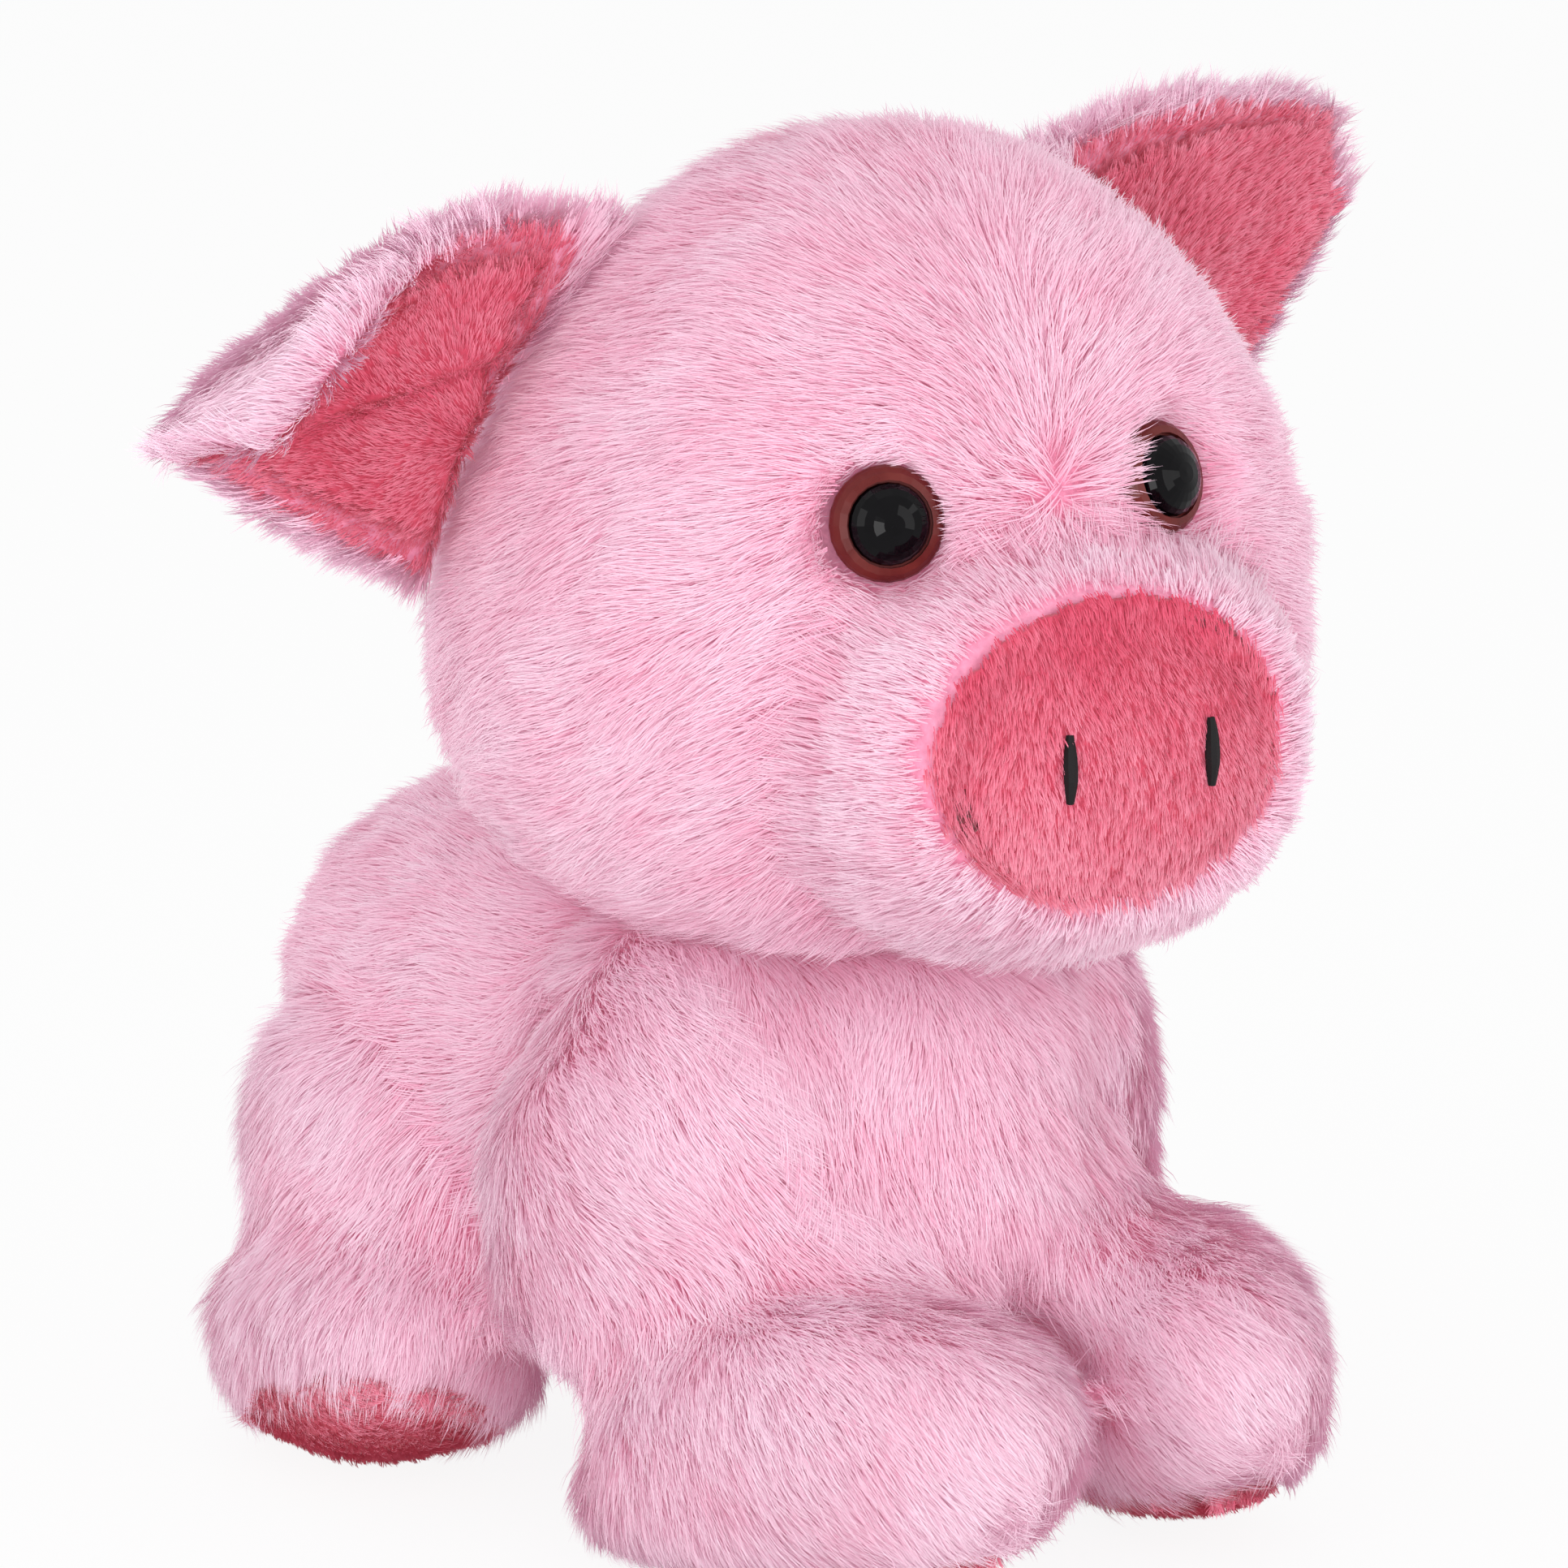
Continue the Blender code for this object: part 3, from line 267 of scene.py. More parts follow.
def closed(points, quads, inward):
    """Points and faces of a piece of surface with each of its openings closed by a fan."""
    edges = np.concatenate([quads[:, [k, (k + 1) % 4]] for k in range(4)])
    _, first, uses = np.unique(np.sort(edges, axis=1), axis=0, return_index=True, return_counts=True)
    rim = edges[first[uses == 1]]
    loop = {int(a): int(a) for a in rim.ravel()}

    def end_of(point):
        while loop[point] != point:
            point = loop[point]
        return point

    for a, b in rim.tolist():
        loop[end_of(a)] = end_of(b)
    loop_of = np.array([end_of(int(a)) for a in rim[:, 0]])
    more, fans = [], []
    for one in np.unique(loop_of):
        part = rim[loop_of == one]
        fans += [[int(b), int(a), len(points) + len(more)] for a, b in part]
        more.append(points[part.ravel()].mean(axis=0) + inward)
    points = np.concatenate([points, more])
    used = np.unique(np.concatenate([quads.ravel(), np.array(fans).ravel()]))
    number_of = np.full(len(points), -1)
    number_of[used] = np.arange(len(used))
    return points[used], number_of[quads].tolist() + number_of[np.array(fans)].tolist()


def tree_of(names):
    """One search tree over several CAD nodes."""
    points, faces = [], []
    for name in names:
        mesh = nodes[name].data
        start = len(points)
        points += [v.co.copy() for v in mesh.vertices]
        faces += [[start + i for i in p.vertices] for p in mesh.polygons]
    return BVHTree.FromPolygons(points, faces)


def distances(points, tree):
    return np.array([tree.find_nearest(Vector(p))[3] for p in points])


def others(*own):
    return [name for name in nodes if name not in own]


def mixed(tree, blend_type, value_a, value_b, amount):
    """A mix of two colours, each a value or a socket; returns its result."""
    node = tree.nodes.new("ShaderNodeMix")
    node.data_type = "RGBA"
    node.blend_type = blend_type
    for socket, value in ((0, amount), (6, value_a), (7, value_b)):
        if isinstance(value, bpy.types.NodeSocket):
            tree.links.new(value, node.inputs[socket])
        else:
            node.inputs[socket].default_value = value
    return node.outputs[2]


def ramp(tree, source, stops):
    """A colour ramp over SOURCE with stops of place and display colour."""
    node = tree.nodes.new("ShaderNodeValToRGB")
    tree.links.new(source, node.inputs[0])
    points = node.color_ramp.elements
    while len(points) < len(stops):
        points.new(0.5)
    for element, (place, colour) in zip(points, stops):
        element.position = place
        element.color = linear(colour)
    return node.outputs[0]


def plainly_seen(tree):
    """One for rays from the camera, from gloss and through glass, and nought for the rest."""
    path = tree.nodes.new("ShaderNodeLightPath")
    total = path.outputs["Is Camera Ray"]
    for name in ("Is Glossy Ray", "Is Transmission Ray"):
        node = tree.nodes.new("ShaderNodeMath")
        node.use_clamp = True
        tree.links.new(total, node.inputs[0])
        tree.links.new(path.outputs[name], node.inputs[1])
        total = node.outputs[0]
    return total


def ranged(tree, source, low, high):
    node = tree.nodes.new("ShaderNodeMapRange")
    tree.links.new(source, node.inputs["Value"])
    node.inputs["To Min"].default_value = low
    node.inputs["To Max"].default_value = high
    return node.outputs[0]


def pile_material(name, deep, pale, roughness, sheen, glow, glow_share):
    """Strands: DEEP and PALE are stops from root to tip; the map's U mixes them and its V runs to the tip."""
    made = bpy.data.materials.new(name)
    made.use_nodes = True
    tree = made.node_tree
    shader = tree.nodes["Principled BSDF"]
    place = tree.nodes.new("ShaderNodeUVMap")
    place.uv_map = "OFBake"
    parts = tree.nodes.new("ShaderNodeSeparateXYZ")
    tree.links.new(place.outputs[0], parts.inputs[0])
    speckle = tree.nodes.new("ShaderNodeTexNoise")
    speckle.inputs["Scale"].default_value = 23
    speckle.inputs["Detail"].default_value = 2
    tree.links.new(place.outputs[0], speckle.inputs["Vector"])
    low = ramp(tree, parts.outputs[1], deep)
    high = ramp(tree, parts.outputs[1], pale)
    colour = mixed(tree, "MIX", low, high, parts.outputs[0])
    tint = ramp(tree, speckle.outputs[0], [(0.3, (244, 238, 241)), (0.7, (255, 255, 255))])
    tree.links.new(mixed(tree, "MULTIPLY", colour, tint, 1.0), shader.inputs["Base Color"])
    gloss = ranged(tree, parts.outputs[1], min(1.0, roughness + 0.1), roughness - 0.1)
    tree.links.new(gloss, shader.inputs["Roughness"])
    shader.inputs["Sheen Weight"].default_value = sheen
    shader.inputs["Sheen Roughness"].default_value = 0.5
    shader.inputs["Specular IOR Level"].default_value = 0.3
    scattered_light(shader, glow, glow_share)
    return made


def scattered_light(shader, colour, share):
    """The light that pale hair passes on from strand to strand, which few bounces would lose."""
    shader.inputs["Emission Color"].default_value = linear(colour)
    shader.inputs["Emission Strength"].default_value = share


def cloth_material(name, low, high, scale, bump, roughness=0.85, sheen=0.3):
    """Cloth with a short nap: mottled colour and a fine bump, both from noise in the piece's space."""
    made = bpy.data.materials.new(name)
    made.use_nodes = True
    tree = made.node_tree
    shader = tree.nodes["Principled BSDF"]
    place = tree.nodes.new("ShaderNodeTexCoord")
    broad = tree.nodes.new("ShaderNodeTexNoise")
    broad.inputs["Scale"].default_value = scale / 12
    broad.inputs["Detail"].default_value = 3
    fine = tree.nodes.new("ShaderNodeTexNoise")
    fine.inputs["Scale"].default_value = scale
    fine.inputs["Detail"].default_value = 4
    for node in (broad, fine):
        tree.links.new(place.outputs["Object"], node.inputs["Vector"])
    colour = ramp(tree, broad.outputs[0], [(0.35, low), (0.65, high)])
    tint = ramp(tree, fine.outputs[0], [(0.3, (226, 214, 220)), (0.7, (255, 255, 255))])
    tree.links.new(mixed(tree, "MULTIPLY", colour, tint, 1.0), shader.inputs["Base Color"])
    relief = tree.nodes.new("ShaderNodeBump")
    relief.inputs["Strength"].default_value = 0.6
    relief.inputs["Distance"].default_value = bump
    tree.links.new(fine.outputs[0], relief.inputs["Height"])
    tree.links.new(relief.outputs[0], shader.inputs["Normal"])
    gloss = ranged(tree, broad.outputs[0], roughness - 0.1, roughness + 0.1)
    tree.links.new(gloss, shader.inputs["Roughness"])
    shader.inputs["Sheen Weight"].default_value = sheen
    shader.inputs["Specular IOR Level"].default_value = 0.3
    return made


def moulded_material(name, low, high, roughness, specular):
    """Hard moulded plastic: nearly even colour, with faint clouds in colour and gloss."""
    made = bpy.data.materials.new(name)
    made.use_nodes = True
    tree = made.node_tree
    shader = tree.nodes["Principled BSDF"]
    place = tree.nodes.new("ShaderNodeTexCoord")
    clouds = tree.nodes.new("ShaderNodeTexNoise")
    clouds.inputs["Scale"].default_value = 260
    tree.links.new(place.outputs["Object"], clouds.inputs["Vector"])
    colour = ramp(tree, clouds.outputs[0], [(0.35, low), (0.65, high)])
    tree.links.new(colour, shader.inputs["Base Color"])
    gloss = ranged(tree, clouds.outputs[0], roughness * 0.7, roughness * 1.3)
    tree.links.new(gloss, shader.inputs["Roughness"])
    shader.inputs["Specular IOR Level"].default_value = specular
    return made


PINK_DEEP = [(0.0, (250, 152, 186)), (0.5, (248, 178, 205)), (1.0, (245, 196, 218))]
PINK_PALE = [(0.0, (250, 188, 213)), (0.5, (247, 213, 230)), (1.0, (247, 228, 239))]
ROSE_DEEP = [(0.0, (216, 62, 94)), (0.5, (224, 82, 112)), (1.0, (230, 102, 130))]
ROSE_PALE = [(0.0, (232, 112, 140)), (0.5, (240, 140, 163)), (1.0, (247, 168, 188))]
PINK_GLOW = (255, 190, 218)
ROSE_GLOW = (255, 130, 155)
GROUND_GLOW_SHARE = 0.05

finishes = {
    "pink_pile": pile_material("pink_pile", PINK_DEEP, PINK_PALE, 0.70, 0.15, PINK_GLOW, 0.07),
    "rose_pile": pile_material("rose_pile", ROSE_DEEP, ROSE_PALE, 0.75, 0.10, ROSE_GLOW, 0.05),
    "pink_ground": cloth_material("pink_ground", (246, 150, 184), (250, 166, 196), 900, 0.3 * MM),
    "rose_ground": cloth_material("rose_ground", (216, 74, 102), (226, 92, 118), 1500, 0.2 * MM),
    "iris": moulded_material("iris_plastic", (94, 28, 27), (106, 38, 35), 0.30, 0.2),
    "pupil": moulded_material("pupil_plastic", (4, 3, 5), (7, 6, 9), 0.05, 0.12),
    "thread": cloth_material("black_thread", (10, 8, 10), (20, 15, 18), 2600, 0.1 * MM, 0.7, 0.0),
}
for ground, glow in (("pink_ground", PINK_GLOW), ("rose_ground", ROSE_GLOW)):
    scattered_light(finishes[ground].node_tree.nodes["Principled BSDF"], glow, GROUND_GLOW_SHARE)


class Pile:
    """How the pile lies on a form: its length, lift and clumps."""

    def __init__(self, length, lift_deg, spread, strands, width, gather, shade=0.5, parted=0.045):
        self.length = length
        self.lift = math.radians(lift_deg)
        self.strands = strands
        self.width = width
        self.spread = spread
        self.gather = gather
        self.shade = shade
        self.ragged = 0.12
        self.parted = parted


def strand_mesh(name, points, sides, facing, shade):
    """Tapered ribbons: POINTS is strands by levels by 3, SIDES their half widths as vectors."""
    many, steps = points.shape[:2]
    rows = np.empty((many, 2 * steps - 1, 3), np.float32)
    rows[:, 0:-1:2] = points[:, :-1] - sides[:, :-1]
    rows[:, 1:-1:2] = points[:, :-1] + sides[:, :-1]
    rows[:, -1] = points[:, -1]
    each = 2 * steps - 1
    loops = []
    for k in range(steps - 2):
        loops += [2 * k, 2 * k + 1, 2 * k + 3, 2 * k + 2]
    loops += [each - 3, each - 2, each - 1]
    loops = np.array(loops, np.int32)
    starts = (np.arange(steps - 1) * 4).astype(np.int32)
    index = (loops[None, :] + each * np.arange(many, dtype=np.int32)[:, None]).ravel()
    start = (starts[None, :] + len(loops) * np.arange(many, dtype=np.int32)[:, None]).ravel()
    mesh = bpy.data.meshes.new(name)
    mesh.vertices.add(many * each)
    mesh.vertices.foreach_set("co", rows.ravel())
    mesh.loops.add(len(index))
    mesh.loops.foreach_set("vertex_index", index)
    mesh.polygons.add(len(start))
    mesh.polygons.foreach_set("loop_start", start)
    level = np.repeat(np.array(STRAND_LEVELS, np.float32), 2)[:each]
    maps = np.empty((many, len(loops), 2), np.float32)
    maps[:, :, 0] = shade[:, None]
    maps[:, :, 1] = level[loops][None, :]
    layer = mesh.uv_layers.new(name="OFBake")
    layer.uv.foreach_set("vector", maps.ravel())
    mesh.update(calc_edges=True)
    mesh.shade_smooth()
    normal = mesh.attributes.new("custom_normal", "FLOAT_VECTOR", "POINT")
    spread = np.repeat(facing, 2, axis=1)[:, :each].astype(np.float32)
    normal.data.foreach_set("vector", np.ascontiguousarray(spread).ravel())
    return mesh


def attach(piece, body, bend):
    """Lets a piece ride on its body; where BEND is given, naming the other body and the place, the piece's
    place is only baked into its points.
    """
    if bend is None:
        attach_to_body(piece, body)
    else:
        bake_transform(piece)


def grow(
    name, form, keep, body, finish, pile, nap, around,
    lengths=None, painted_light_and_shade=None, seed=0, bend=None, lean=None,
):
    """Grows clumps of strands over the KEEP points of FORM and adds them as pieces that ride on BODY
    unless BEND is given.

    NAP gives their way and AROUND is the search tree of what they must stay clear of. LENGTHS varies
    them; PAINTED_LIGHT_AND_SHADE makes their colour paler or deeper, as painted light and shade; BEND,
    naming a second body and a place, leaves them unattached; and LEAN turns the way they are lit.
    """
    draw = np.random.default_rng(SEED + seed)
    up = unit(form.smoothed(form.normals(), 3))
    hollow = form.hollows()
    centre, up, hollow = form.points[keep], up[keep], hollow[keep]
    centre = centre + draw.normal(scale=CLUMP_JITTER, size=centre.shape)
    along = nap(centre, up) + 0.0 * up
    along = unit(along - up * (along * up).sum(axis=1, keepdims=True))
    side = np.cross(up, along)
    turn = wandering(centre, TURN_WAVES, seed)
    along = along * np.cos(turn)[:, None] + side * np.sin(turn)[:, None]
    side = np.cross(up, along)
    count = len(centre)
    lift = pile.lift * (1 + wandering(centre, LIFT_WAVES, seed) + 0.06 * draw.normal(size=count))
    reach = pile.length * (1 + wandering(centre, REACH_WAVES, seed) + 0.05 * draw.normal(size=count))
    tone = pile.shade + wandering(centre, TONE_WAVES, seed)
    # Painted shade: deeper colour in creases; painted light: paler colour on ridges.
    tone = tone - np.clip(hollow / MM, -0.6, 1.5) * HOLLOW_PAINTED_SHADE
    parted = draw.uniform(size=count) < pile.parted
    reach = np.where(parted, reach * PARTED_SHORT, reach)
    tone = np.where(parted, tone - PARTED_SHADE, tone)
    if lengths is not None:
        reach = reach * lengths(centre, up)
    # Painted light and shade: colour made paler or deeper where the caller paints light or shade.
    if painted_light_and_shade is not None:
        tone = tone + painted_light_and_shade(centre, up)
    thick = reach * np.sin(lift)
    ok = np.ones(count, bool)
    if around is not None:
        aim = unit(up + 0.35 * along)
        for k in range(count):
            hit = around.ray_cast(Vector(centre[k]), Vector(aim[k]), 2 * pile.length)
            if hit[0] is None:
                continue
            free = hit[3]
            # Painted shade: the closer the neighbouring part, the deeper the clump's colour.
            tone[k] -= NEIGHBOUR_PAINTED_SHADE * (1 - free / (2 * pile.length))
            if free < NEIGHBOUR_LEAST * thick[k]:
                ok[k] = False
            elif free < thick[k]:
                reach[k] *= max(0.4, free / thick[k])
    centre, up, along, side = centre[ok], up[ok], along[ok], side[ok]
    lit = up if lean is None else unit(up + lean(up))
    lift, reach, tone = lift[ok], reach[ok], tone[ok]
    tone = tone + 0.04 * draw.normal(size=len(centre))
    clumps, strands = len(centre), pile.strands
    size = (clumps, strands)
    radius = pile.spread * np.sqrt(draw.uniform(size=size))
    angle = draw.uniform(0, 2 * math.pi, size)
    off_side, off_along = radius * np.cos(angle), radius * np.sin(angle)
    length = reach[:, None] * np.clip(1 + pile.ragged * draw.normal(size=size), 0.6, 1.35)
    rise = np.clip(lift[:, None] + 0.05 * draw.normal(size=size), 0.08, 1.4)
    yaw = 0.06 * draw.normal(size=size)
    curl = 0.08 * draw.normal(size=size)
    half = pile.width / 2 * draw.uniform(0.75, 1.25, size)
    roll = 0.25 * draw.normal(size=size)
    shade = np.clip(tone[:, None] + 0.08 * draw.normal(size=size), 0.02, 0.98).astype(np.float32)
    levels = np.array(STRAND_LEVELS)
    ahead = length[..., None] * np.cos(rise)[..., None] * levels**STRAND_REACH_POWER
    above = length[..., None] * np.sin(rise)[..., None] * (1 - (1 - levels) ** STRAND_ARCH_POWER)
    loose = 1 - pile.gather * levels
    across = off_side[..., None] * loose + ahead * (np.sin(yaw)[..., None] + curl[..., None] * levels)
    ahead = ahead + off_along[..., None] * loose
    spot = (
        centre[:, None, None, :]
        + up[:, None, None, :] * above[..., None]
        + along[:, None, None, :] * ahead[..., None]
        + side[:, None, None, :] * across[..., None]
    )
    spot[..., 2] = np.maximum(spot[..., 2], FLOOR_CLEAR)
    step = unit(np.gradient(spot, axis=2))
    flat = unit(np.cross(step, np.broadcast_to(up[:, None, None, :], step.shape)))
    face = np.cross(flat, step)
    cosine, sine = np.cos(roll)[..., None, None], np.sin(roll)[..., None, None]
    broad = flat * cosine + face * sine
    outward = face * cosine - flat * sine
    normal = unit(0.92 * lit[:, None, None, :] + 0.08 * outward)
    sides = broad * (half[..., None] * np.array(STRAND_TAPER))[..., None]
    flatten = (clumps * strands, len(levels), 3)
    spot, sides, normal = spot.reshape(flatten), sides.reshape(flatten), normal.reshape(flatten)
    shade = shade.ravel()
    total = len(spot)
    packs = max(1, math.ceil(total / STRAND_LIMIT))
    for number in range(packs):
        part = slice(total * number // packs, total * (number + 1) // packs)
        label = f"{name}_{number + 1}"
        mesh = strand_mesh(label, spot[part], sides[part], normal[part], shade[part])
        piece = bpy.data.objects.new(label, mesh)
        bpy.context.scene.collection.objects.link(piece)
        mesh.materials.append(finishes[finish])
        attach(piece, body, bend)


def everywhere(form):
    return np.ones(len(form.points), bool)


def under_pile(form, inset):
    """The cloth under the pile: the form drawn in by INSET, one length or one a point, and off the floor."""
    cloth = Form(form.points, form.quads)
    cloth.swell(-np.broadcast_to(inset, len(form.points))[:, None])
    cloth.points = cloth.smoothed(cloth.points, 2)
    cloth.points[:, 2] = np.maximum(cloth.points[:, 2], FLOOR_CLEAR / 2)
    return cloth


def add_padded(name, points, faces, body, finish, replaced, bend=None):
    """Adds a piece of stuffed cloth in place of its CAD nodes."""
    piece = add_mesh(name, points, faces, finish)
    attach(piece, body, bend)
    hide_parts(*replaced)


def dress(cloth, name, body, finish, replaced):
    """Adds a whole form as a piece of stuffed cloth."""
    add_padded(name, cloth.points, cloth.quads.tolist(), body, finish, replaced)


def line(cloth, name, body, finish, replaced):
    """Adds a form as a sheet of cloth and works out its flat size from its area and its longest side; nothing
    uses that size.
    """
    piece = add_mesh(name, cloth.points, cloth.quads.tolist(), finish)
    attach(piece, body, None)
    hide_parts(*replaced)
    piece_box = cloth.points.max(axis=0) - cloth.points.min(axis=0)
    wide, long = sorted(piece_box.tolist())[1:]
    area = cloth.area() / 2
    wide = max(wide, area / long)


# Where things are: the part is centred after it is made, and the head is turned about the neck.
torso_low, torso_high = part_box("torso_skin")
shift = np.array([(torso_low.x + torso_high.x) / 2, torso_low.y - TORSO_FRONT, 0.0])
neck = np.array(joints["neck_turn"]["pos_m"])
nose_low, nose_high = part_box("nose_pad")
nose_middle = np.array((nose_low + nose_high) / 2)
head_back = unit((neck - nose_middle) * (1, 1, 0))
head_left = np.cross(head_back, (0, 0, 1))


def on_head(points):
    """World points as seen from the neck: to the head's left, to its back and up."""
    away = points - neck
    return np.stack([away @ head_left, away @ head_back, away[..., 2]], axis=-1)


def from_head(vectors):
    """Directions given in the head's own axes as world ones."""
    sideways, backwards, upwards = vectors[..., :1], vectors[..., 1:2], vectors[..., 2:]
    return sideways * head_left + backwards * head_back + upwards * np.array((0, 0, 1))


# The camera's own directions, and the middle of what it sees.
turn, tilt = math.radians(CAMERA_TURN_DEG), math.radians(CAMERA_LIFT_DEG)
right = np.array((math.cos(turn), math.sin(turn), 0))
back = np.array((math.sin(turn) * math.cos(tilt), -math.cos(turn) * math.cos(tilt), math.sin(tilt)))
above = np.cross(back, right)
target = shift + right * FRAME_RIGHT + above * FRAME_UP + back * FRAME_NEAR

# Each eye: its front and the way that it looks.
EYE_CLEAR = 7.9 * MM
EYE_DEEP = 14 * MM
EYE_FADE = 6 * MM
LEFT_EYE_HIDDEN = 5.0 * MM
BRIDGE_WIDE = 3.0 * MM
eyes = {}
for side_name in SIDES:
    low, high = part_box("eye_pupil_" + side_name)
    back_low, back_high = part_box("eye_washer_" + side_name)
    front = np.array((low + high) / 2)
    eyes[side_name] = (front, unit(front - np.array((back_low + back_high) / 2)))


def eye_distance(centre, side_name):
    """How far from an eye's axis each point is, and whether it is near the eye at all."""
    front, axis = eyes[side_name]
    away = centre - front
    out = away @ axis
    return np.linalg.norm(away - out[:, None] * axis, axis=1), out > -EYE_DEEP


def eye_clear(points):
    """False for points under an eye."""
    ok = np.ones(len(points), bool)
    for side_name, hidden in (("right", 0.0), ("left", LEFT_EYE_HIDDEN)):
        wide, near = eye_distance(points, side_name)
        ok &= ~((wide < EYE_CLEAR - hidden * on_bridge(points, side_name)) & near)
    return ok


def on_bridge(centre, side_name):
    """From 0 to 1 for points between an eye and the middle of the face."""
    inward = (centre - eyes[side_name][0]) @ head_left * -SIDES[side_name]
    return np.clip(inward / BRIDGE_WIDE, 0, 1)


def eye_lengths(centre, up):
    """Shorter pile close to the eyes, but long on the bridge beside the left one, which it half hides."""
    scale = np.ones(len(centre))
    for side_name, least, kept in (("right", 0.40, 0.0), ("left", 0.50, 1.0)):
        wide, near = eye_distance(centre, side_name)
        share = np.clip((wide - EYE_CLEAR) / EYE_FADE, 0, 1)
        share = np.maximum(share, kept * on_bridge(centre, side_name))
        scale = np.where(near, np.minimum(scale, least + (1 - least) * share), scale)
    return scale


def toward(vector):
    """A nap that lies one way all over."""
    wanted = np.array(vector, float)
    return lambda centre, up: np.broadcast_to(wanted, centre.shape)


def radial(place, pull):
    """A nap that spreads from PLACE, with a pull of its own."""
    return lambda centre, up: unit(centre - place) + np.array(pull)


# The head's pile fans out from between the eyes and parts along the middle of the forehead.
FAN_FOOT = np.array((0.000, -0.052, 0.064))
PARTING_WIDE = 6 * MM
PARTING_PULL = np.array((0.45, 0, 0))
HEAD_PULL = np.array((0, 0.10, -0.18))
MUZZLE_BEHIND = 4 * MM
MUZZLE_PULL = np.array((0, 0.35, 0.05))


def head_nap(centre, up):
    place = on_head(centre)
    away = unit(place - FAN_FOOT)
    off = place[:, 0] / np.hypot(place[:, 0], PARTING_WIDE)
    return from_head(away + off[:, None] * PARTING_PULL + HEAD_PULL)


def muzzle_nap(centre, up):
    place = on_head(centre) - on_head(nose_middle)
    place[:, 1] = MUZZLE_BEHIND
    return from_head(unit(place) + MUZZLE_PULL)


SHOULDER_BACK = 10 * MM
SHOULDER_FADE = 6 * MM
FOOT_TOP = 46 * MM
FOOT_FADE = 18 * MM
FOOT_MIDDLE_AHEAD = 14 * MM
FOOT_MIDDLE_UP = np.array((0, 0, 48 * MM))


def torso_nap(centre, up):
    """Back along the flank, forward over the shoulder and down the chest."""
    raw = centre - shift
    in_front = np.clip((SHOULDER_BACK - raw[:, 1]) / SHOULDER_FADE, 0, 1)
    shoulder = (in_front * np.clip(1 - up[:, 1] / 0.4, 0, 1))[:, None]
    chest = np.clip((-up[:, 1] - 0.45) / 0.3, 0, 1)[:, None]
    side = np.array((0, 1.0, -0.30)) * (1 - shoulder) + np.array((0, -0.8, -0.50)) * shoulder
    return side * (1 - chest) + np.array((0, 0.1, -1.0)) * chest


def leg_nap(pivot, toe, forward):
    """Along the leg's outer side towards its front, and out over the foot from its middle."""
    middle = pivot * (1, 1, 0) + toe * FOOT_MIDDLE_AHEAD + FOOT_MIDDLE_UP

    def nap(centre, up):
        foot = np.clip((FOOT_TOP - centre[:, 2]) / FOOT_FADE, 0, 1)[:, None]
        behind = np.clip(up[:, 1] / 0.5, 0, 1)[:, None]
        column = toe * forward * (1 - behind) + np.array((0, 0, -0.45)) * (1 + behind)
        spreading = unit(centre - middle) + toe * 0.30
        return column * (1 - foot) + spreading * foot + np.array((0, 0, -0.10))

    return nap


FUR = {"strands": 11, "width": 0.16 * MM, "gather": 0.34}
BODY_PILE = Pile(7.2 * MM, 23, 1.6 * MM, shade=0.58, **FUR)
# Painted light: the legs' pile is the torso's made paler, where less light reaches them under the head.
LEG_PILE_PAINTED_LIGHT = Pile(7.2 * MM, 23, 1.6 * MM, shade=0.76, **FUR)
HEAD_PILE = Pile(6.8 * MM, 24, 1.6 * MM, shade=0.52, **FUR)
MUZZLE_PILE = Pile(6.4 * MM, 30, 1.6 * MM, shade=0.76, **FUR)
EAR_PILE = Pile(5.6 * MM, 24, 1.2 * MM, shade=0.78, **FUR)
VELOUR_PILE = Pile(1.9 * MM, 27, 0.8 * MM, strands=9, width=0.13 * MM, gather=0.30, parted=0.0)

EYE_NODES = [start + side_name for start in ("eye_iris_", "eye_pupil_") for side_name in SIDES]
HEAD_NODES = ("head_skin", "head_stuffing", "eye_washer_left", "eye_washer_right")
TORSO_NODES = ("torso_skin", "torso_stuffing", "pellet_pouch")
STITCH_NODES = ["nostril_stitch_" + side_name for side_name in SIDES]

# The head and the muzzle are one form, so that the cloth runs on through the crease between them.
FUR_INSET = 3.0 * MM
CLOTH_UNDER = 0.2 * MM
CREASE_WIDE = 4 * MM
CREASE_LONGER = 1.15
# Painted shade: how much deeper the pile's colour is in the crease round the muzzle.
CREASE_PAINTED_SHADE = 0.25
NOSE_INSET = 0.9 * MM
NOSE_HALF_WIDTH = 26.0 * MM
NOSE_HALF_HEIGHT = 19.9 * MM
NOSE_DEEP = 16 * MM
NOSE_RIM = 9 * MM
NOSE_BARE = 0.4 * MM
NOSE_SHIFT = np.array((-2.1, 0, 2.5)) * MM
NOSE_SWELL = 0.8 * MM
NOSE_LIFT = 0.5 * MM
NOSE_THICK = 5 * MM
STITCH_CLEAR = 4 * MM
nose_oval = on_head(nose_middle) + NOSE_SHIFT
head_tree = tree_of(["head_skin"])
muzzle_tree = tree_of(["muzzle", "nose_pad"])


def off_oval(points):
    """How far points lie outside the velour's oval; negative within it."""
    place = on_head(points) - nose_oval
    share = np.hypot(place[:, 0] / NOSE_HALF_WIDTH, place[:, 2] / NOSE_HALF_HEIGHT)
    off = (share - 1) * (NOSE_HALF_WIDTH + NOSE_HALF_HEIGHT) / 2
    return np.where(place[:, 1] < NOSE_DEEP, off, NOSE_RIM)


def off_crease(points):
    """How far points lie from the crease round the muzzle; negative on the muzzle."""
    return distances(points, muzzle_tree) - distances(points, head_tree)


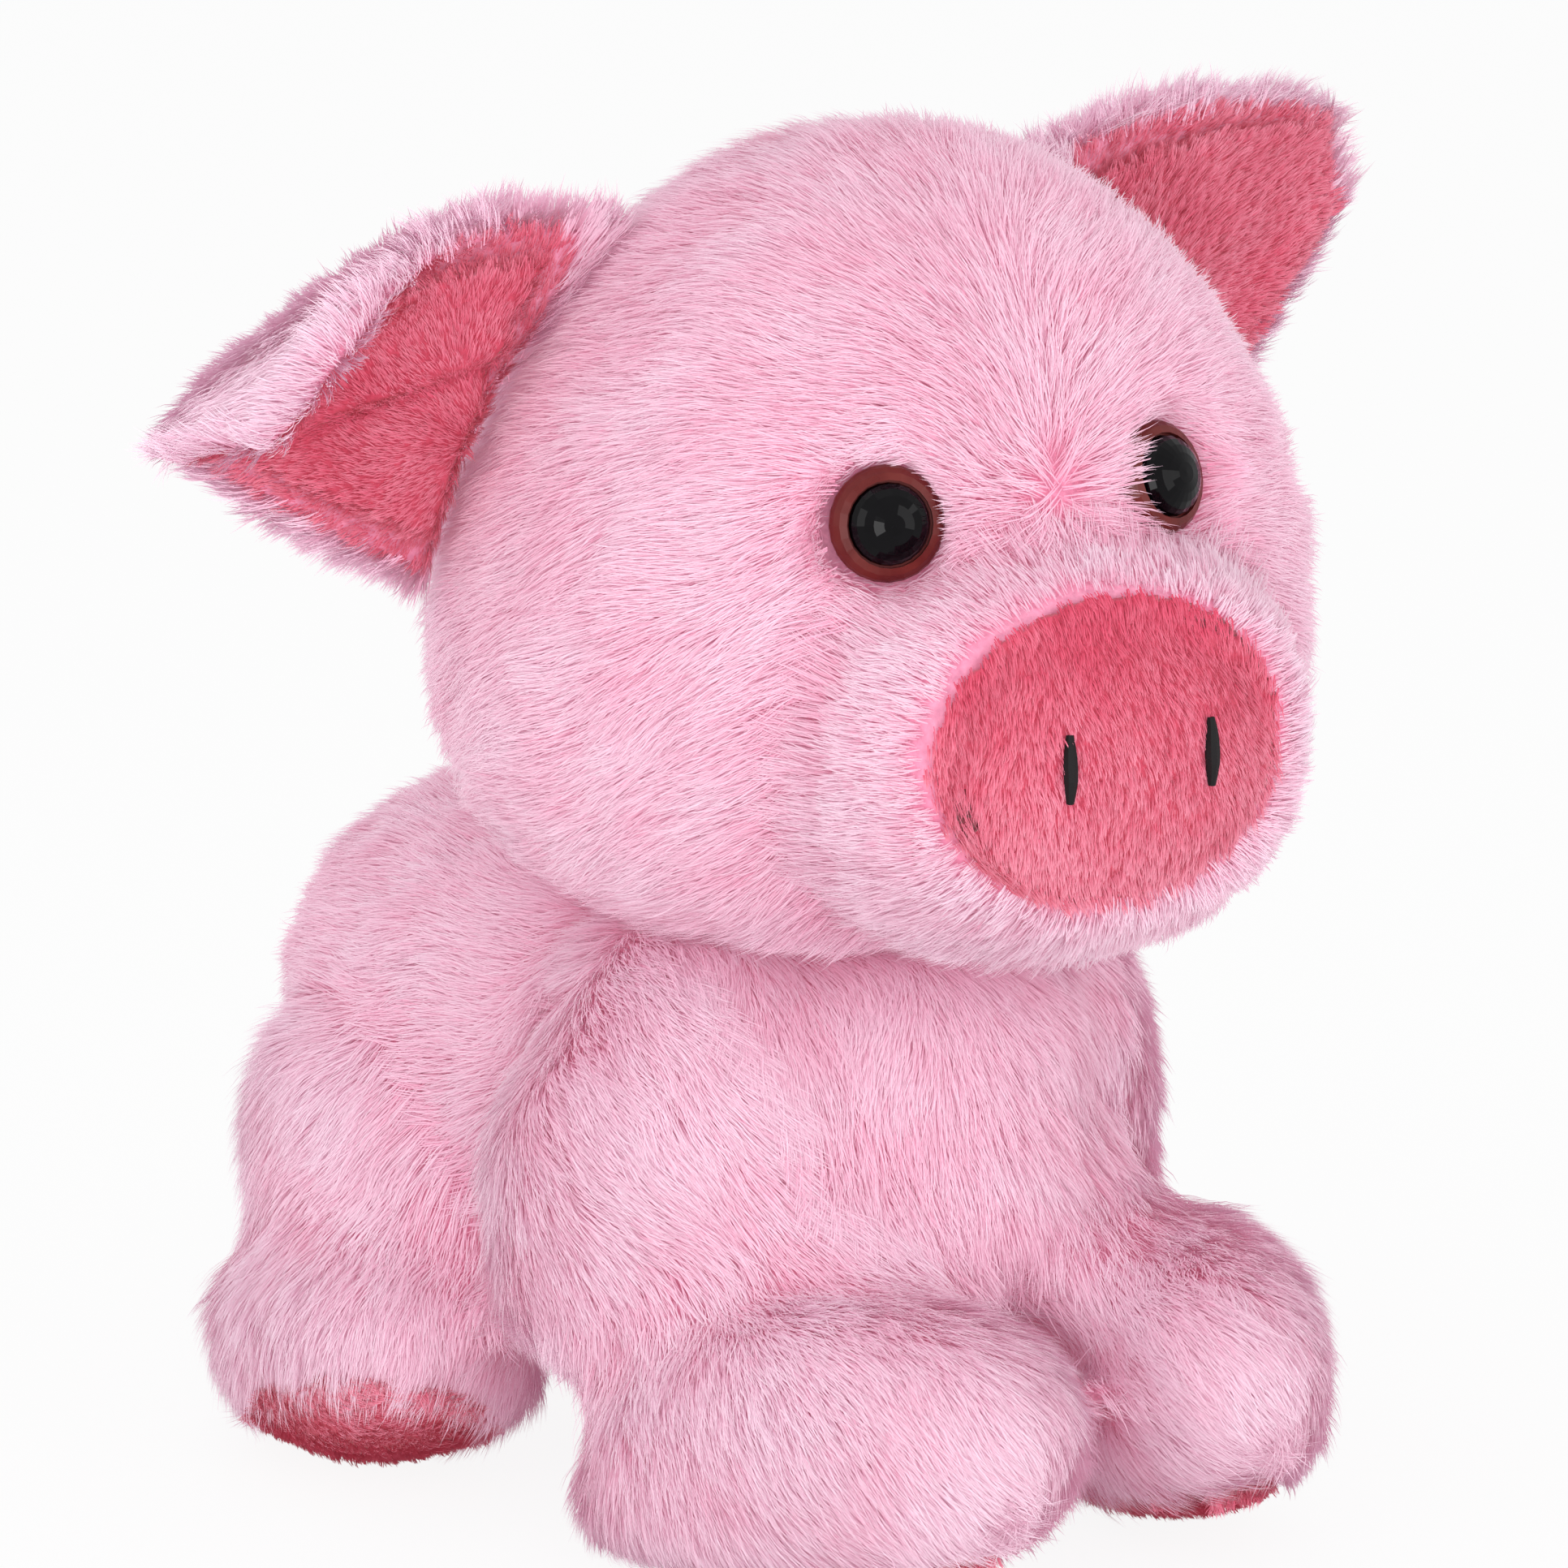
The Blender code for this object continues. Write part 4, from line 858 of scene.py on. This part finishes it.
def nose_lengths(centre, up):
    """Shorter pile at the rim of the nose, longer pile where it falls over the crease."""
    over = CREASE_LONGER + np.clip(off_crease(centre) / CREASE_WIDE, -1, 0) * (CREASE_LONGER - 1)
    return eye_lengths(centre, up) * (0.30 + 0.70 * np.clip(off_oval(centre) / NOSE_RIM, 0, 1)) * over


def crease_painted_shade(centre, up):
    """Painted shade: deeper colour in the crease round the muzzle, where shade falls."""
    return -CREASE_PAINTED_SHADE * (1 - np.clip(np.abs(off_crease(centre)) / CREASE_WIDE, 0, 1))


face = solid_form(["head_skin", "muzzle", "nose_pad"], ["head_stuffing"], BODY_VOXEL, 10, FACE_SWELL)
inset = NOSE_INSET + (FUR_INSET - NOSE_INSET) * off_oval(face.points) / NOSE_RIM
inset = np.clip(inset, NOSE_INSET, FUR_INSET)
face_base = under_pile(face, inset)
face_cloth = under_pile(face, inset + CLOTH_UNDER)
dress(face_cloth, "head_cloth", "head", "pink_ground", (*HEAD_NODES, "muzzle"))
on_muzzle = off_crease(face.points) < 0
seen = eye_clear(face_base.points)
around_face = tree_of(others(*HEAD_NODES, *EYE_NODES, *STITCH_NODES, "muzzle", "nose_pad"))
grow(
    "head_pile", face_base, seen & ~on_muzzle, "head", "pink_pile", HEAD_PILE,
    head_nap, around_face, eye_lengths, crease_painted_shade, seed=20,
)
bare = off_oval(face_base.points) < NOSE_BARE
grow(
    "muzzle_pile", face_base, seen & on_muzzle & ~bare, "head", "pink_pile", MUZZLE_PILE,
    muzzle_nap, around_face, nose_lengths, crease_painted_shade, seed=40,
)

# The nose is a cap of velour over the front of the muzzle.
cap = solid_form(["muzzle", "nose_pad"], [], THIN_VOXEL, 12, NOSE_SWELL)
cap.swell(NOSE_LIFT)
velour = cap.quads[(off_oval(cap.points)[cap.quads] < 0).all(axis=1)]
used, index = np.unique(velour, return_inverse=True)
nose_cloth = Form(cap.points[used], index.reshape(-1, 4))
nose_points, nose_faces = closed(nose_cloth.points, nose_cloth.quads, head_back * NOSE_THICK)
add_padded(
    "nose_cloth", nose_points, nose_faces, "head", "rose_ground", ("nose_pad",)
)


def stitch_lengths(centre, up):
    """Shorter pile under the nostril stitches."""
    near = np.min([distances(centre, tree_of([name])) for name in STITCH_NODES], axis=0)
    return np.clip(0.6 + near / STITCH_CLEAR, 0, 1)


def nose_painted_sheen(centre, up):
    """Painted sheen: the velour is darker at the top of the nose and paler at its foot, as its nap catches
    the light.
    """
    return np.clip((nose_middle[2] + 3 * MM - centre[:, 2]) / (14 * MM), -1, 1) * 0.42


grow(
    "nose_pile", nose_cloth, everywhere(nose_cloth), "head", "rose_pile", VELOUR_PILE,
    toward((0, 0, -1)), None, stitch_lengths, nose_painted_sheen, seed=80,
)

# The torso and the legs are one form, so that the cloth runs on over the shoulders and hips. Four
# kinds of filling round it out, each with its place and its radii.
LEGS = [f"{place}_leg_{side_name}" for place in ("front", "hind") for side_name in SIDES]
SOLES = [name.replace("leg", "sole") for name in LEGS]
SHOULDER = ((0.001, -0.003, 0.008), (0.024, 0.026, 0.029))
FLANK = ((0.004, 0.021, 0.004), (0.0245, 0.030, 0.030))
CHEST = ((0, -0.030, 0.046), (0.022, 0.021, 0.021))
ANKLE_RADII = (0.019, 0.019, 0.016)
ANKLE_AHEAD = 0.022
ANKLE_UP = 0.043
TORSO_INSET = 3.0 * MM
SOLE_CLEAR = 1.0 * MM
BEND_ABOVE = 0.014
BEND_BELOW = 0.016
pivots = {leg: np.array(joints[leg + "_swing"]["pos_m"]) for leg in LEGS}


def toe_way(leg):
    """The level direction in which a leg's toe points."""
    way = unit(np.cross((0, 0, 1), joints[leg + "_swing"]["axis"]))
    return way if way[1] < 0 else -way


swellings = [(shift + CHEST[0], CHEST[1])]
for leg in LEGS[:2]:
    pivot = pivots[leg]
    ankle = pivot * (1, 1, 0) + toe_way(leg) * ANKLE_AHEAD + (0, 0, ANKLE_UP)
    swellings += [(pivot + SHOULDER[0], SHOULDER[1]), (pivot + FLANK[0], FLANK[1]), (ankle, ANKLE_RADII)]
body = solid_form(
    ["torso_skin", *LEGS, *SOLES], ["torso_stuffing", "pellet_pouch"], BODY_VOXEL, 12, SEAM_SWELL, swellings
)
nearest = np.stack([distances(body.points, tree_of([name])) for name in ("torso_skin", *LEGS, *SOLES)])
kind = nearest.argmin(axis=0)
limb = np.where(kind > len(LEGS), kind - len(LEGS), kind)
body_cloth = under_pile(body, TORSO_INSET + CLOTH_UNDER)
body_base = under_pile(body, TORSO_INSET)
around_body = tree_of(others(*TORSO_NODES, *LEGS, *SOLES))

# A face of the cloth belongs to a leg where at least two of its corners do.
owners = np.sort(limb[body_cloth.quads], axis=1)[:, 2]


def body_patch(name, number, body_name, replaced, bend=None):
    """Adds the part of the body's cloth that belongs to the torso, 0, or to a leg, and closes it."""
    points, faces = closed(body_cloth.points, body_cloth.quads[owners == number], np.zeros(3))
    add_padded(name, points, faces, body_name, "pink_ground", replaced, bend)


body_patch("torso_cloth", 0, "torso", TORSO_NODES)
grow(
    "torso_pile", body_base, limb == 0, "torso", "pink_pile", BODY_PILE,
    torso_nap, around_body, seed=60,
)
for number, (leg, sole_name) in enumerate(zip(LEGS, SOLES), 1):
    pivot = pivots[leg]
    bend = ("torso", Vector(pivot + (0, 0, BEND_ABOVE)), Vector(pivot - (0, 0, BEND_BELOW)))
    body_patch(leg + "_cloth", number, leg, (leg,), bend)
    forward = 0.8 if leg.startswith("front") else -0.3
    on_leg = (kind == number) & (nearest[len(LEGS) + number] > SOLE_CLEAR)
    grow(
        leg + "_pile", body_base, on_leg, leg, "pink_pile", LEG_PILE_PAINTED_LIGHT,
        leg_nap(pivot, toe_way(leg), forward), around_body, seed=100 + number, bend=bend,
    )
    sole = solid_form([sole_name], [], THIN_VOXEL, 4)
    sole_cloth = under_pile(sole, 0.5 * MM)
    dress(sole_cloth, sole_name + "_cloth", leg, "rose_ground", (sole_name,))
    # Painted light: the soles' pile is made paler by 0.4, in place of the light that the floor throws up onto
    # them.
    grow(
        sole_name + "_pile", sole_cloth, everywhere(sole_cloth), leg, "rose_pile",
        VELOUR_PILE, toward((-0.3, -1, -0.2)), None, None, lambda centre, up: 0.4, seed=120 + number,
    )

# The ears: the lining's velour is turned out to near their edges. The near ear's lining has a
# crease, given as it runs in the photograph's frame.
TURNING = 4.5 * MM
TURNING_FACES = -0.35
EAR_INSET = 0.8 * MM
LINING_INSET = 0.3 * MM
EAR_ROOT_DROP = 4 * MM
CREASE_FROM = np.array((-67.1, 43.5)) * MM
CREASE_TO = np.array((-32.8, 56.4)) * MM
CREASE_STEP = 1.3 * MM
CREASE_REACH = 4.5 * MM
CREASE_SHARP = 0.9 * MM
CREASE_BAND = 2 * MM
FOLD_PAINTED_SHADE = 0.45


def within_ear(cloth, lining_name):
    """True for points on the ear's inner face near the lining."""
    tree = tree_of([lining_name])
    found = [tree.find_nearest(Vector(p)) for p in cloth.points]
    off = np.array([f[3] for f in found])
    way = unit(np.array([f[0] for f in found]) - cloth.points)
    return (off < TURNING) & ((way * cloth.normals()).sum(axis=1) > TURNING_FACES)


def lining_front(lining_name):
    """The direction that an ear's lining faces."""
    mesh = nodes[lining_name].data
    ahead = np.array([p.normal for p in mesh.polygons]) * np.array([p.area for p in mesh.polygons])[:, None]
    return unit(ahead[ahead[:, 1] < 0].sum(axis=0))


def leaning(lining_name):
    """Light falls through the thin fringe from the ear's front, so its strands are lit from there too."""
    ahead = lining_front(lining_name)
    return lambda up: 0.9 * ahead * np.clip(up @ ahead + 0.7, 0, 1)[:, None]


def rim_painted_light(root):
    """Painted light: paler pile towards the ear's tip, where light shines through the thin fringe."""
    return lambda centre, up: 0.4 * np.clip(np.linalg.norm(centre - root, axis=1) / (40 * MM) - 0.3, 0, 1)


def off_fold(points):
    """How far above the crease points are, as seen from the front, and how near to it, from 0 to 1."""
    away = points - target
    frame_place = np.stack([away @ right, away @ above], axis=1)
    way = CREASE_TO - CREASE_FROM
    share = np.clip((frame_place - CREASE_FROM) @ way / (way @ way), 0, 1)
    off = frame_place - (CREASE_FROM + share[:, None] * way)
    nearness = np.exp(-((np.linalg.norm(off, axis=1) / CREASE_REACH) ** 2))
    return off @ unit(np.array((-way[1], way[0]))), nearness


def painted_fold_shade(centre, up):
    """Painted shade: deeper colour just under the crease, where the upper layer of the lining shades the
    lower.
    """
    higher, nearness = off_fold(centre)
    return -FOLD_PAINTED_SHADE * nearness * np.clip(1 - np.abs(higher + CREASE_SHARP) / CREASE_BAND, 0, 1)


for side_name in SIDES:
    ear_name = "ear_" + side_name
    lining_name = "ear_lining_" + side_name
    root = np.array(joints[ear_name + "_flap"]["pos_m"])
    ear_nap = radial(root - np.array((0, 0, EAR_ROOT_DROP)), (0, 0, 0.10))
    around_ear = tree_of(others(ear_name, lining_name))
    ear = solid_form([ear_name], [], EAR_VOXEL, 4)
    ear_cloth = under_pile(ear, EAR_INSET)
    dress(ear_cloth, ear_name + "_cloth", ear_name, "pink_ground", (ear_name,))
    inside = within_ear(ear_cloth, lining_name)
    grow(
        ear_name + "_pile", ear_cloth, ~inside, ear_name, "pink_pile", EAR_PILE,
        ear_nap, around_ear, None, rim_painted_light(root), seed=140, lean=leaning(lining_name),
    )
    grow(
        ear_name + "_turning", ear_cloth, inside, ear_name, "rose_pile", VELOUR_PILE,
        ear_nap, around_ear, seed=150,
    )
    lining = solid_form([lining_name], [], THIN_VOXEL, 3)
    lining_cloth = under_pile(lining, LINING_INSET)
    lining_painted_shade = None
    if side_name == "right":
        higher, nearness = off_fold(lining_cloth.points)
        step = (CREASE_STEP * np.tanh(higher / CREASE_SHARP) * nearness)[:, None]
        lining_cloth.points = lining_cloth.points + lining_front(lining_name) * step
        # The crease has real relief, and painted shade just under it.
        lining_painted_shade = painted_fold_shade
    line(lining_cloth, lining_name + "_cloth", ear_name, "rose_ground", (lining_name,))
    grow(
        lining_name + "_pile", lining_cloth, everywhere(lining_cloth), ear_name,
        "rose_pile", VELOUR_PILE, ear_nap, tree_of(others(lining_name)), None, lining_painted_shade, seed=160,
    )

# The tail.
tail = solid_form(["tail"], [], THIN_VOXEL, 4)
tail_cloth = under_pile(tail, 0.8 * MM)
dress(tail_cloth, "tail_cloth", "tail", "rose_ground", ("tail",))
grow(
    "tail_pile", tail_cloth, everywhere(tail_cloth), "tail", "rose_pile", VELOUR_PILE,
    toward((0, 1, 0.2)), tree_of(others("tail")), seed=180,
)

# The moulded eyes and the stitches are the solids themselves.
for side_name in SIDES:
    for node_name, finish in (("eye_iris_", "iris"), ("eye_pupil_", "pupil"), ("nostril_stitch_", "thread")):
        node = nodes[node_name + side_name]
        node.data.materials.clear()
        node.data.materials.append(finishes[finish])

# The camera, the lamps, the floor and the world. Each lamp has its place from the target, to the
# right, above and towards the camera, its size and its power in watts.
SENSOR_MM = 36
FLOOR_HALF = 4.0
FLOOR_GREY = 0.9
FLOOR_SEEN_WHITE = 0.90
WORLD_LEVEL = 0.77
LAMPS = {
    "key": ((-0.70, 0.16, 0.85), 0.62, 2.3),
    "fill": ((0.80, 0.12, 0.65), 0.62, 2.2),
    "front": ((0, -0.20, 1.05), 0.40, 2.8),
    "flash": ((0, 0.02, 1.12), 0.05, 0.7),
}
TOP_LAMP = (0, 0.1, 0.8)


def look(obj, place, at):
    obj.location = Vector(place)
    obj.rotation_mode = "QUATERNION"
    obj.rotation_quaternion = (Vector(at) - Vector(place)).to_track_quat("-Z", "Y")


def lamp(name, place, size, watts):
    data = bpy.data.lights.new(name, "AREA")
    data.shape = "SQUARE"
    data.size = size
    data.energy = watts
    made = bpy.data.objects.new(name, data)
    bpy.context.scene.collection.objects.link(made)
    look(made, place, target)


lens = bpy.data.cameras.new("camera")
camera = bpy.data.objects.new("camera", lens)
bpy.context.scene.collection.objects.link(camera)
look(camera, target + back * CAMERA_DISTANCE, target)
lens.sensor_width = SENSOR_MM
lens.lens = SENSOR_MM * CAMERA_DISTANCE / FRAME_WIDE
lens.clip_start = 0.01
bpy.context.scene.camera = camera

for name, (place, size, watts) in LAMPS.items():
    lamp(name, target + right * place[0] + above * place[1] + back * place[2], size, watts)
lamp("top", target + np.array(TOP_LAMP), 0.6, 0.3)

corners = [(-FLOOR_HALF, -FLOOR_HALF, 0), (FLOOR_HALF, -FLOOR_HALF, 0)]
corners += [(FLOOR_HALF, FLOOR_HALF, 0), (-FLOOR_HALF, FLOOR_HALF, 0)]
floor_mesh = bpy.data.meshes.new("floor")
floor_mesh.from_pydata(corners, [], [(0, 1, 2, 3)])
floor = bpy.data.objects.new("floor", floor_mesh)
bpy.context.scene.collection.objects.link(floor)
floor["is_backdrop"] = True
paint = bpy.data.materials.new("floor_paint")
paint.use_nodes = True
tree = paint.node_tree
tree.nodes.remove(tree.nodes["Principled BSDF"])
matt = tree.nodes.new("ShaderNodeBsdfDiffuse")
matt.inputs["Color"].default_value = (FLOOR_GREY, FLOOR_GREY, FLOOR_GREY, 1)
glow = tree.nodes.new("ShaderNodeEmission")
glow.inputs["Strength"].default_value = 1.0
blend = tree.nodes.new("ShaderNodeMixShader")
tree.links.new(ranged(tree, plainly_seen(tree), 0.0, FLOOR_SEEN_WHITE), blend.inputs[0])
tree.links.new(matt.outputs[0], blend.inputs[1])
tree.links.new(glow.outputs[0], blend.inputs[2])
tree.links.new(blend.outputs[0], tree.nodes["Material Output"].inputs["Surface"])
floor_mesh.materials.append(paint)

world = bpy.data.worlds.new("studio")
bpy.context.scene.world = world
world.use_nodes = True
tree = world.node_tree
sky = tree.nodes["Background"]
tree.links.new(ranged(tree, plainly_seen(tree), WORLD_LEVEL, 1.0), sky.inputs["Strength"])
sky.inputs["Color"].default_value = (1, 1, 1, 1)

bpy.context.scene.view_settings.view_transform = "Standard"

low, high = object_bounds()
